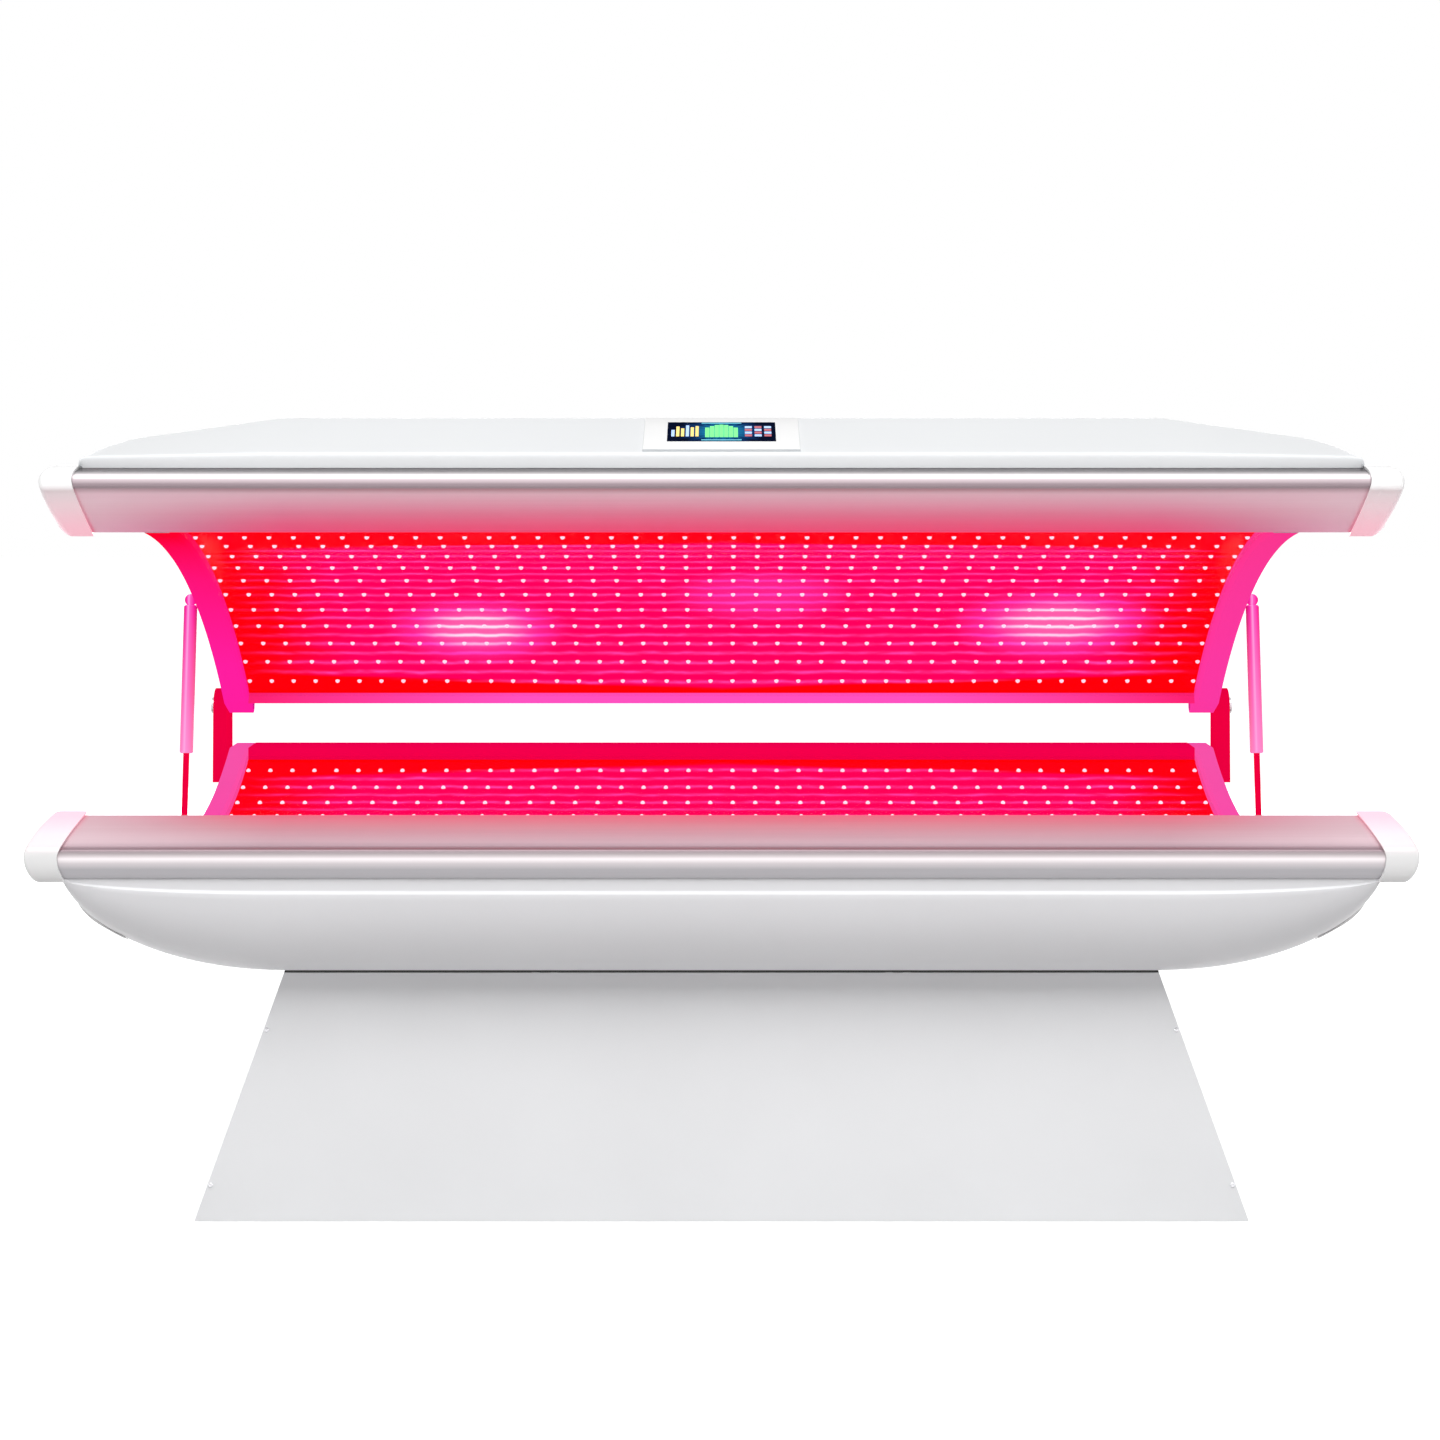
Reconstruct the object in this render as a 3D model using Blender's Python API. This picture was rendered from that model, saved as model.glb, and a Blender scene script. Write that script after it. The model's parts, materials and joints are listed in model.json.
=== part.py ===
"""LED light therapy bed: a lying bed on a sheet-metal pedestal with a hinged canopy above it.

X runs along the bed, Y from the front rail to the rear and Z up. The origin is on the floor under
the middle of the bed. Depths below are measured from the front of the bed's rail. The canopy is
modelled closed, and hangs on an empty on the hinge axis that holds it open.
"""
import math

import bmesh
import bpy
from mathutils import Matrix, Vector

# Overall sizes and clearances, in metres and degrees
GAP = 0.0003
OVERALL_LENGTH = 2.000
BED_DEPTH = 0.970
BASE_HEIGHT = 0.374
HULL_HEIGHT = 0.156
CLOSED_GAP = 0.044
OPEN_ANGLE = 25.0
ROUND_SIDES = 16
SMOOTH_ANGLE = 35.0

# Front rails: an aluminium extrusion with a bead, mirrored on the canopy
BED_RAIL_RUN = 0.060
BED_RAIL_RISE = 0.085
CANOPY_RAIL_RUN = 0.077
CANOPY_RAIL_RISE = 0.073
RAIL_WALL = 0.004
RAIL_SEAM_SETBACK = 0.012
RAIL_FLANGE = 0.018
RAIL_BULGE_RISE = 0.033
RAIL_CREASE_RISE = 0.044
RAIL_CREASE_SETBACK = 0.003
RAIL_LIP_RUN = 0.010
RAIL_LIP_DROP = 0.010
RAIL_BEAD_STEPS = 5
RAIL_TOP_SLANT = 0.018
RAIL_FOOT_SLANT = 0.007

# White caps on the rail ends
CAP_LENGTH = 0.049
CAP_PROUD = 0.005
CAP_TOP_SLANT = 0.032
CAP_FOOT_SLANT = 0.011
CAP_ROUNDING = 0.008

# Hull under the bed: flat in the middle, with elliptic ends and sides
HULL_RIM_FALL = 0.040
HULL_END_SETBACK = 0.0065
HULL_END_RUN = 0.3035
HULL_SIDE_RUN = 0.138
HULL_WALL = 0.004
HULL_END_STEPS = 8
HULL_SIDE_STEPS = 6
HULL_FLAT_STEPS = 4

# End covers around the hull's ends, with a narrow deck on the rim
COVER_GAP = 0.0006
COVER_TOP_THICK = 0.042
COVER_TIP_THICK = 0.002
COVER_THICK_POWER = 1.5
COVER_START_STEP = 4
COVER_DECK = 0.004
COVER_FRONT_DEPTH = 0.070
COVER_SLOT = 0.012

# Rear rails
BED_REAR_RISE = 0.0075
BED_REAR_WIDTH = 0.100
BED_REAR_LIP = 0.037
BED_REAR_FLARE = 0.030
BED_REAR_CHAMFER = 0.015
CANOPY_REAR_WIDTH = 0.060
CANOPY_REAR_HEIGHT = 0.059
CANOPY_REAR_LIP = 0.027
CANOPY_REAR_CHAMFER = 0.017
REAR_RAIL_WALL = 0.003

# Concave light fields: end panels, acrylic, boards and trays
END_PANEL_INSET = 0.136
END_PANEL_BAND = 0.041
END_PANEL_WALL = 0.005
RIM_BAND = 0.006
BED_SAG = 0.088
CANOPY_SAG = 0.060
ARC_STEPS = 18
BOARD_STEPS = 8
ACRYLIC_DROP = 0.006
ACRYLIC_THICK = 0.004
LED_AIR = 0.008
BOARD_THICK = 0.0016
BOARD_COUNT = 3
BOARD_SPACE = 0.004
BOARD_END_MARGIN = 0.004
TRAY_THICK = 0.002
FIELD_EDGE = 0.006
PANEL_FLOOR_CLEARANCE = 0.030
PANEL_REAR_MARGIN = 0.020
PANEL_SKIRT = 0.090
PANEL_SLOPE = 0.080
CANOPY_PANEL_RISE = 0.060

# Canopy shell: a half-elliptic dome, wider at the front rail than at the rear
SHELL_REAR_SETBACK = 0.038
SHELL_HEIGHT = 0.205
SHELL_END_RUN = 0.277
SHELL_END_MARGIN = 0.006
SHELL_TAPER = 0.250
SHELL_WALL = 0.004
SHELL_END_STEPS = 8
SHELL_SIDE_STEPS = 18

# Hinges
HINGE_INSET = 0.040
HINGE_DROP = 0.042
HINGE_EAR_RADIUS = 0.026
HINGE_BRACKET_RADIUS = 0.030
HINGE_BRACKET_THICK = 0.024
HINGE_BRACKET_OVERLAP = 0.0625
HINGE_BRACKET_TOE = 0.035
HINGE_PIN_RADIUS = 0.008
HINGE_PIN_HEAD_RADIUS = 0.014
HINGE_PIN_HEAD = 0.006
EAR_STEPS = 8

# Gas struts
STRUT_STANDOFF = 0.024
STRUT_UPPER_REACH = 0.310
STRUT_UPPER_RISE = 0.033
STRUT_LOWER_REACH = 0.321
STRUT_LOWER_DROP = 0.060
STRUT_BALL_RADIUS = 0.010
STRUT_NECK_RADIUS = 0.006
STRUT_TUBE_RADIUS = 0.011
STRUT_TUBE_START = 0.016
STRUT_TUBE_END = 0.249
STRUT_ROD_RADIUS = 0.005
STRUT_BORE_TOP = 0.068
STRUT_ROD_TOP = 0.215
STUD_RADIUS = 0.006
STUD_FLANGE_RADIUS = 0.022
STUD_FLANGE = 0.004
STUD_HOLE_CLEARANCE = 0.004

# Pedestal
BASE_INSET = 0.150
BASE_TOP_MARGIN = 0.006
BASE_FLARE = 0.133
BASE_SHEET = 0.002
BASE_BOTTOM_Z = 0.006
BASE_PAN_THICK = 0.003
FOOT_RADIUS = 0.030
FOOT_CHAMFER = 0.003
FOOT_END_INSET = 0.140
FOOT_INSET = 0.070

# Power supplies, fans and the mains inlet in the pedestal
SUPPLY_LENGTH = 0.300
SUPPLY_WIDTH = 0.130
SUPPLY_HEIGHT = 0.070
SUPPLY_X = 0.260
SUPPLY_DEPTH = 0.400
FAN_X = 0.300
FAN_Z = 0.200
FAN_SIZE = 0.120
FAN_THICK = 0.025
FAN_BORE_RADIUS = 0.055
FAN_MOUNT_RADIUS = 0.022
FAN_MOUNT_THICK = 0.004
FAN_ARM_HALF = 0.004
FAN_ARMS = 4
FAN_HUB_RADIUS = 0.021
FAN_BLADE_RADIUS = 0.052
FAN_BLADES = 7
FAN_BLADE_CHORD = 0.022
FAN_BLADE_THICK = 0.0016
FAN_BLADE_PITCH = 35.0
FAN_END_CLEARANCE = 0.002
VENT_RADIUS = 0.053
INLET_X = 0.500
INLET_Z = 0.090
INLET_FLANGE = 0.003
INLET_WIDTH = 0.050
INLET_HEIGHT = 0.062
INLET_BODY_WIDTH = 0.036
INLET_BODY_HEIGHT = 0.052
INLET_BODY_LENGTH = 0.030
SOCKET_WIDTH = 0.024
SOCKET_HEIGHT = 0.017
SOCKET_LENGTH = 0.018
SOCKET_DROP = 0.012
ROCKER_LIFT = 0.012
ROCKER_RADIUS = 0.008
ROCKER_WIDTH = 0.018
ROCKER_TILT = 8.0
ROCKER_CLEARANCE = 0.0005
ROCKER_PROUD = 0.0035

# Control panel let into the canopy's front slope
CONTROL_WIDTH = 0.232
CONTROL_LENGTH = 0.165
CONTROL_THICK = 0.022
CONTROL_DEPTH = 0.058
CONTROL_RISE = 0.080
CONTROL_TILT = 41.0
SCREEN_WIDTH = 0.162
SCREEN_LENGTH = 0.100
SCREEN_THICK = 0.003
SCREEN_PROUD = 0.0006
SCREEN_OFFSET = 0.006

# Lengths and places that follow from the driving dimensions
RAIL_HALF = OVERALL_LENGTH / 2 - CAP_LENGTH
HULL_BOTTOM_Z = BASE_HEIGHT
BED_SEAM_Z = BASE_HEIGHT + HULL_HEIGHT
BED_BULGE_Z = BED_SEAM_Z + RAIL_BULGE_RISE
BED_RAIL_TOP_Z = BED_SEAM_Z + BED_RAIL_RISE
CANOPY_EDGE_Z = BED_RAIL_TOP_Z + CLOSED_GAP
CANOPY_SEAM_Z = CANOPY_EDGE_Z + CANOPY_RAIL_RISE
HULL_FRONT = RAIL_SEAM_SETBACK
HULL_REAR = BED_DEPTH - RAIL_SEAM_SETBACK
HULL_REAR_RIM_Z = BED_SEAM_Z - HULL_RIM_FALL
HULL_FLAT_HALF = RAIL_HALF - HULL_END_SETBACK - HULL_END_RUN
HULL_END_TURN = math.acos(RAIL_BULGE_RISE / (BED_BULGE_Z - HULL_BOTTOM_Z))
BED_REAR_TOP_Z = BED_RAIL_TOP_Z + BED_REAR_RISE
BED_REAR_FACE = BED_DEPTH - BED_REAR_WIDTH
SHELL_FRONT = RAIL_SEAM_SETBACK
SHELL_REAR = BED_DEPTH - SHELL_REAR_SETBACK
CANOPY_REAR_FACE = SHELL_REAR - CANOPY_REAR_WIDTH
CANOPY_REAR_BOTTOM_Z = CANOPY_SEAM_Z - CANOPY_REAR_HEIGHT
END_PANEL_IN = RAIL_HALF - END_PANEL_INSET
END_PANEL_OUT = END_PANEL_IN + END_PANEL_BAND
FIELD_HALF = END_PANEL_IN - GAP
SHELL_FRONT_HALF = RAIL_HALF - RAIL_FOOT_SLANT * (1 + CAP_PROUD / RAIL_BULGE_RISE) - GAP
SHELL_FLAT_HALF = RAIL_HALF - SHELL_END_RUN
SHELL_REAR_HALF = END_PANEL_OUT + SHELL_END_MARGIN
HINGE_DEPTH = BED_DEPTH - HINGE_INSET
HINGE_Z = CANOPY_SEAM_Z - HINGE_DROP
HINGE = Vector((0.0, HINGE_DEPTH, HINGE_Z))
HINGE_BRACKET_BOTTOM_Z = BED_REAR_TOP_Z - HINGE_BRACKET_OVERLAP
BRACKET_IN = END_PANEL_OUT + GAP
BRACKET_OUT = BRACKET_IN + HINGE_BRACKET_THICK
STRUT_X = END_PANEL_OUT + STRUT_STANDOFF
STRUT_UPPER_DEPTH = HINGE_DEPTH - STRUT_UPPER_REACH
STRUT_UPPER_Z = CANOPY_SEAM_Z + STRUT_UPPER_RISE
STRUT_LOWER_DEPTH = HINGE_DEPTH - STRUT_LOWER_REACH
STRUT_LOWER_Z = BED_SEAM_Z - STRUT_LOWER_DROP
STUD_START = END_PANEL_IN + END_PANEL_WALL + GAP
STUD_END = STRUT_X - STRUT_BALL_RADIUS - GAP
BASE_FRONT = BASE_INSET
BASE_REAR = BED_DEPTH - BASE_INSET
BASE_TOP_HALF = HULL_FLAT_HALF + BASE_TOP_MARGIN
BASE_FOOT_HALF = BASE_TOP_HALF + BASE_FLARE
FOOT_X = BASE_FOOT_HALF - FOOT_END_INSET
SIDES = (("left", -1), ("right", 1))

# Finishes: colour, roughness and metallic value
FINISHES = {
    "white_shell": ((0.86, 0.86, 0.87), 0.30, 0.0),
    "white_cap": ((0.90, 0.89, 0.90), 0.35, 0.0),
    "white_panel": ((0.74, 0.75, 0.76), 0.42, 0.1),
    "silver": ((0.62, 0.61, 0.62), 0.30, 0.9),
    "pink_panel": ((0.90, 0.16, 0.48), 0.40, 0.0),
    "clear": ((0.95, 0.35, 0.60), 0.08, 0.0),
    "board": ((0.75, 0.03, 0.14), 0.50, 0.0),
    "tray": ((0.66, 0.66, 0.68), 0.45, 0.7),
    "steel": ((0.55, 0.55, 0.57), 0.30, 1.0),
    "strut": ((0.80, 0.30, 0.55), 0.30, 0.4),
    "black": ((0.03, 0.03, 0.035), 0.50, 0.0),
    "screen": ((0.02, 0.04, 0.09), 0.10, 0.0),
}


def clear_scene():
    """Remove every object, so that the script starts from an empty scene."""
    for old in list(bpy.data.objects):
        bpy.data.objects.remove(old, do_unlink=True)


def finish_material(node, finish):
    """A Principled material of the node's own."""
    colour, roughness, metallic = FINISHES[finish]
    made = bpy.data.materials.new(node + "_finish")
    made.use_nodes = True
    shader = made.node_tree.nodes["Principled BSDF"]
    shader.inputs["Base Color"].default_value = (*colour, 1.0)
    shader.inputs["Roughness"].default_value = roughness
    shader.inputs["Metallic"].default_value = metallic
    made.diffuse_color = (*colour, 1.0)
    return made


def add_empty(name, parent, place, turn=0.0):
    """An empty at a place, turned about X, to carry other pieces."""
    empty = bpy.data.objects.new(name, None)
    bpy.context.scene.collection.objects.link(empty)
    empty.parent = parent
    empty.location = place
    empty.rotation_euler = (turn, 0.0, 0.0)
    return empty


def add_mesh(name, bm, parent, place=(0.0, 0.0, 0.0)):
    """A smooth-shaded object from a bmesh, with its faces pointing out."""
    bmesh.ops.recalc_face_normals(bm, faces=bm.faces)
    if bm.calc_volume(signed=True) < 0:
        bmesh.ops.reverse_faces(bm, faces=bm.faces)
    mesh = bpy.data.meshes.new(name)
    bm.to_mesh(mesh)
    bm.free()
    mesh.shade_smooth()
    mesh.set_sharp_from_angle(angle=math.radians(SMOOTH_ANGLE))
    piece = bpy.data.objects.new(name, mesh)
    bpy.context.scene.collection.objects.link(piece)
    piece.parent = parent
    piece.location = place
    return piece


def add_piece(name, bm, parent, finish, place=(0.0, 0.0, 0.0)):
    """A named sub-part with its own material."""
    piece = add_mesh(name, bm, parent, place)
    piece.data.materials.append(finish_material(name, finish))
    return piece


def combine(piece, bm, operation, place=(0.0, 0.0, 0.0), solver="EXACT"):
    """Join a hidden tool shape to a piece, or cut it out of the piece."""
    tool = add_mesh(piece.name + "_tool", bm, piece.parent, place)
    tool.hide_render = True
    tool.display_type = "WIRE"
    modifier = piece.modifiers.new("combine", "BOOLEAN")
    modifier.operation = operation
    modifier.solver = solver
    modifier.object = tool


def loft(bm, sections, caps=True):
    """Skin closed sections of equal length and cap both ends."""
    loops = [[bm.verts.new(point) for point in section] for section in sections]
    for near, far in zip(loops, loops[1:]):
        for i in range(len(near)):
            bm.faces.new((near[i - 1], near[i], far[i], far[i - 1]))
    if caps:
        bm.faces.new(loops[0])
        bm.faces.new(loops[-1])
    return loops


def prism_x(bm, outline, low, high):
    """Extrude a (depth, height) outline along X."""
    loft(bm, [[(x, y, z) for y, z in outline] for x in (low, high)])


def prism_y(bm, outline, low, high):
    """Extrude an (x, height) outline along Y."""
    loft(bm, [[(x, y, z) for x, z in outline] for y in (low, high)])


def box(bm, low, high):
    """A box between two corners."""
    outline = [(low[0], low[2]), (high[0], low[2]), (high[0], high[2]), (low[0], high[2])]
    prism_y(bm, outline, low[1], high[1])


def turned(bm, profile, matrix):
    """Turn a (radius, height) profile, which starts and ends on its axis, about the matrix's Z axis."""
    rings = []
    for radius, height in profile:
        if radius == 0.0:
            rings.append([bm.verts.new(matrix @ Vector((0.0, 0.0, height)))])
            continue
        ring = []
        for i in range(ROUND_SIDES):
            angle = 2 * math.pi * i / ROUND_SIDES
            point = Vector((radius * math.cos(angle), radius * math.sin(angle), height))
            ring.append(bm.verts.new(matrix @ point))
        rings.append(ring)
    for near, far in zip(rings, rings[1:]):
        for i in range(ROUND_SIDES):
            corners = [near[i - 1], near[i]] if len(near) > 1 else [near[0]]
            corners += [far[i], far[i - 1]] if len(far) > 1 else [far[0]]
            bm.faces.new(corners)


def rod(bm, radius, length, matrix):
    """A plain round bar from the matrix's origin along its Z axis."""
    turned(bm, [(0.0, 0.0), (radius, 0.0), (radius, length), (0.0, length)], matrix)


def along_x(side, x, depth, height):
    """A frame at a point whose Z axis runs outwards along X on that side."""
    return Matrix.Translation((side * x, depth, height)) @ Matrix.Rotation(side * math.pi / 2, 4, "Y")


def along_y(x, depth, height):
    """A frame at a point whose Z axis runs to the rear."""
    return Matrix.Translation((x, depth, height)) @ Matrix.Rotation(-math.pi / 2, 4, "X")


def offset_path(path, distance):
    """Shift an open path to its right by a distance, with mitred corners."""
    normals = []
    for start, end in zip(path, path[1:]):
        along = (Vector(end) - Vector(start)).normalized()
        normals.append(Vector((along.y, -along.x)))
    shifted = []
    for i, point in enumerate(path):
        before = normals[max(i - 1, 0)]
        after = normals[min(i, len(normals) - 1)]
        mitre = (before + after) / (1.0 + before.dot(after))
        shifted.append(tuple(Vector(point) + mitre * distance))
    return shifted


def wall_loft(bm, sections):
    """Skin sections of a wall, each a pair of matched paths along its two faces, and cap both ends."""
    loops = loft(bm, [outer + inner[::-1] for outer, inner in sections], caps=False)
    for loop in (loops[0], loops[-1]):
        for i in range(len(loop) // 2 - 1):
            bm.faces.new((loop[i], loop[i + 1], loop[-i - 2], loop[-i - 1]))


def wall_strip(bm, outer, inner, low, high):
    """Extrude the wall between two matched paths along X; each end may slant with height."""
    sections = []
    for end in (low, high):
        sections.append([[(end(z), y, z) for y, z in path] for path in (outer, inner)])
    wall_loft(bm, sections)


def closed_skin(bm, outer, inner):
    """A shell between two grids of points of the same size, closed along their edges.

    The corner that each face starts from is mirrored about the middle column, so that the two halves
    split alike into triangles.
    """
    grids = [[[bm.verts.new(point) for point in row] for row in grid] for grid in (outer, inner)]
    rows = len(outer)
    columns = len(outer[0])
    for grid in grids:
        for i in range(rows - 1):
            for j in range(columns - 1):
                corners = [grid[i][j], grid[i][j + 1], grid[i + 1][j + 1], grid[i + 1][j]]
                if 2 * j >= columns:
                    corners = corners[1:] + corners[:1]
                bm.faces.new(corners)
    edge = [(0, j) for j in range(columns)]
    edge += [(i, columns - 1) for i in range(1, rows)]
    edge += [(rows - 1, j) for j in range(columns - 2, -1, -1)]
    edge += [(i, 0) for i in range(rows - 2, 0, -1)]
    for here, after in zip(edge, edge[1:] + edge[:1]):
        a, b = (grids[0][i][j] for i, j in (here, after))
        c, d = (grids[1][i][j] for i, j in (after, here))
        bm.faces.new((a, b, c, d))


# Front rails and their end caps

def rail_path(run, rise):
    """Front face of a rail as (depth, rise above its seam), from the seam flange to the inner lip."""
    path = [(RAIL_SEAM_SETBACK + RAIL_FLANGE, GAP), (RAIL_SEAM_SETBACK, GAP)]
    for step in range(1, RAIL_BEAD_STEPS + 1):
        angle = math.pi / 2 * step / RAIL_BEAD_STEPS
        depth = RAIL_SEAM_SETBACK * (1 - math.sin(angle))
        path.append((depth, RAIL_BULGE_RISE * (1 - math.cos(angle))))
    path.append((RAIL_CREASE_SETBACK, RAIL_CREASE_RISE))
    path.append((run, rise))
    path.append((run + RAIL_LIP_RUN, rise - RAIL_LIP_DROP))
    return path


def slanted_end(length, rise, top_slant, foot_slant):
    """How far an end reaches at each rise: furthest at the bulge, less above and below it."""
    def reach(height):
        over = height - RAIL_BULGE_RISE
        if over > 0:
            return length - top_slant * over / (rise - RAIL_BULGE_RISE)
        return length + foot_slant * over / RAIL_BULGE_RISE
    return reach


def front_rail(name, parent, run, rise, seam_z, up):
    """An open extrusion along the front; up is 1 on the bed and -1 on the canopy."""
    path = rail_path(run, rise)
    inner = offset_path(path, RAIL_WALL)
    reach = slanted_end(RAIL_HALF, rise, RAIL_TOP_SLANT, RAIL_FOOT_SLANT)
    bm = bmesh.new()
    wall_strip(bm, path, inner, lambda z: -reach(z), reach)
    for vert in bm.verts:
        vert.co.z = seam_z + up * vert.co.z
    return add_piece(name, bm, parent, "silver")


def rail_cap(name, parent, run, rise, seam_z, up, side):
    """A moulded cap that carries the rail's shape on past its end."""
    inner_end = slanted_end(RAIL_HALF + GAP, rise, RAIL_TOP_SLANT, RAIL_FOOT_SLANT)
    outer_end = slanted_end(OVERALL_LENGTH / 2, rise, CAP_TOP_SLANT, CAP_FOOT_SLANT)
    path = rail_path(run, rise)
    bulge = len(path) - 3
    back = [(run, RAIL_BULGE_RISE)]
    full = offset_path(path, -CAP_PROUD) + back
    rounded = offset_path(path, CAP_ROUNDING - CAP_PROUD) + back

    def place(outline, end, short):
        return [(side * (end(z) - short), y, seam_z + up * z) for y, z in outline]

    bm = bmesh.new()
    sections = [
        place(full, inner_end, 0.0),
        place(full, outer_end, CAP_ROUNDING),
        place(rounded, outer_end, 0.0),
    ]
    loops = loft(bm, sections, caps=False)
    for loop in (loops[0], loops[-1]):
        bm.faces.new(loop[bulge - 1:])
        bm.faces.new(loop[:bulge] + loop[-1:])
    return add_piece(name, bm, parent, "white_cap")


# Hull and end covers

def hull_rim(depth):
    """Height of the hull's rim, which falls gently to the rear."""
    share = (depth - HULL_FRONT) / (HULL_REAR - HULL_FRONT)
    return BED_SEAM_Z + (HULL_REAR_RIM_Z - BED_SEAM_Z) * share


def hull_stations():
    """Steps round the hull from front rim to rear rim, as (share of the depth, angle from the rim)."""
    angles = [math.pi / 2 * step / HULL_SIDE_STEPS for step in range(HULL_SIDE_STEPS + 1)]
    flat = [step / HULL_FLAT_STEPS for step in range(1, HULL_FLAT_STEPS)]
    front = [(0.0, angle) for angle in angles]
    rear = [(1.0, angle) for angle in reversed(angles)]
    return front + [(across, math.pi / 2) for across in flat] + rear


def hull_point(side, share, station, swell):
    """A point on the hull, or on a surface that lies outside it by the swell."""
    across, angle = station
    inset = (HULL_SIDE_RUN + swell) * (1 - math.cos(angle)) - swell
    depth = HULL_FRONT + inset + (HULL_REAR - HULL_FRONT - 2 * inset) * across
    rim = hull_rim(depth)
    turn = share * HULL_END_TURN
    x = HULL_FLAT_HALF + (HULL_END_RUN + swell) * math.sin(turn)
    rim_share = math.cos(HULL_END_TURN)
    fall = (math.cos(turn) - rim_share) / (1 - rim_share) * math.sin(angle)
    return Vector((side * x, depth, rim - (rim - HULL_BOTTOM_Z + swell) * fall))


def hull_floor(x):
    """Height of the hull's outside under a point of its end, where its front curve runs out."""
    turn = math.asin(max(0.0, x - HULL_FLAT_HALF) / HULL_END_RUN)
    return hull_point(1, turn / HULL_END_TURN, (0.0, math.pi / 2), 0.0).z


def hull(parent):
    """The boat-shaped shell under the bed."""
    shares = [step / HULL_END_STEPS for step in range(HULL_END_STEPS + 1)]
    columns = [(-1, share) for share in reversed(shares)] + [(1, share) for share in shares]
    stations = hull_stations()
    grids = []
    for swell in (0.0, -HULL_WALL):
        grids.append([[hull_point(*column, station, swell) for column in columns] for station in stations])
    bm = bmesh.new()
    closed_skin(bm, *grids)
    return add_piece("bed_hull", bm, parent, "white_shell")


def end_cover(name, parent, side):
    """A white moulding round the hull's end, thick under the cap and thin where it runs out below."""
    shares = [step / HULL_END_STEPS for step in range(COVER_START_STEP, HULL_END_STEPS + 1)]
    deck_in = STRUT_X + STRUT_TUBE_RADIUS + COVER_SLOT
    sections = []
    for station in hull_stations():
        depth = hull_point(side, 0.0, station, 0.0).y
        if not COVER_FRONT_DEPTH < depth < BED_DEPTH - COVER_FRONT_DEPTH:
            continue
        outer = []
        for share in shares:
            along = (share - shares[0]) / (1 - shares[0])
            thick = COVER_TIP_THICK + (COVER_TOP_THICK - COVER_TIP_THICK) * along ** COVER_THICK_POWER
            outer.append(hull_point(side, share, station, COVER_GAP + thick))
        inner = [hull_point(side, share, station, COVER_GAP) for share in shares]
        ledge = Vector((side * deck_in, inner[-1].y, inner[-1].z))
        low = Vector((0.0, 0.0, COVER_GAP))
        high = Vector((0.0, 0.0, COVER_GAP + COVER_DECK))
        sections.append((outer + [outer[-1] + high, ledge + high], inner + [inner[-1] + low, ledge + low]))
    bm = bmesh.new()
    wall_loft(bm, sections)
    return add_piece(name, bm, parent, "white_cap")


# Light fields

class Arc:
    """A shallow arc in the (depth, height) plane; up is 1 where its layers stack downwards, as on the bed."""

    def __init__(self, front, rear, sag, up):
        start = Vector(front)
        end = Vector(rear)
        half = (end - start).length / 2
        along = (end - start).normalized()
        self.up = up
        self.radius = (half ** 2 + sag ** 2) / (2 * sag)
        self.centre = (start + end) / 2 + up * (self.radius - sag) * Vector((-along.y, along.x))

    def angle(self, depth, offset):
        """Angle from straight towards the layers at which a layer reaches a depth."""
        return math.asin((depth - self.centre.x) / (self.radius + offset))

    def point(self, angle, offset):
        """A point on the layer at an offset from the rim."""
        reach = self.radius + offset
        depth = self.centre.x + reach * math.sin(angle)
        return (depth, self.centre.y - self.up * reach * math.cos(angle))

    def points(self, offset, first, last, steps):
        """Points along a layer between two angles."""
        return [self.point(first + (last - first) * i / steps, offset) for i in range(steps + 1)]

    def layer(self, offset, start, end):
        """Points along a layer between two depths."""
        return self.points(offset, self.angle(start, offset), self.angle(end, offset), ARC_STEPS)

    def sheet(self, offset, thick, first, last, steps):
        """Closed outline of a curved sheet between two angles."""
        near = self.points(offset, first, last, steps)
        return near + self.points(offset + thick, last, first, steps)


def light_field(prefix, parent, arc, front, rear):
    """Acrylic sheet, light boards and tray along an arc, between the end panels."""
    board_drop = ACRYLIC_DROP + ACRYLIC_THICK + LED_AIR
    tray_drop = board_drop + BOARD_THICK + GAP
    first = arc.angle(front + FIELD_EDGE, tray_drop + TRAY_THICK)
    last = arc.angle(rear - FIELD_EDGE, tray_drop + TRAY_THICK)

    bm = bmesh.new()
    prism_x(bm, arc.sheet(ACRYLIC_DROP, ACRYLIC_THICK, first, last, ARC_STEPS), -FIELD_HALF, FIELD_HALF)
    add_piece(prefix + "_acrylic_sheet", bm, parent, "clear")

    bm = bmesh.new()
    tray = arc.sheet(tray_drop, TRAY_THICK, first, last, BOARD_COUNT * BOARD_STEPS)
    prism_x(bm, tray, -FIELD_HALF, FIELD_HALF)
    add_piece(prefix + "_led_tray", bm, parent, "tray")

    share = (last - first) / BOARD_COUNT
    margin = BOARD_SPACE / 2 / arc.radius
    half = FIELD_HALF - BOARD_END_MARGIN
    for number in range(BOARD_COUNT):
        start = first + share * number + margin
        end = first + share * (number + 1) - margin
        bm = bmesh.new()
        prism_x(bm, arc.sheet(board_drop, BOARD_THICK, start, end, BOARD_STEPS), -half, half)
        add_piece(prefix + "_led_board_" + str(number + 1), bm, parent, "board")


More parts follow.
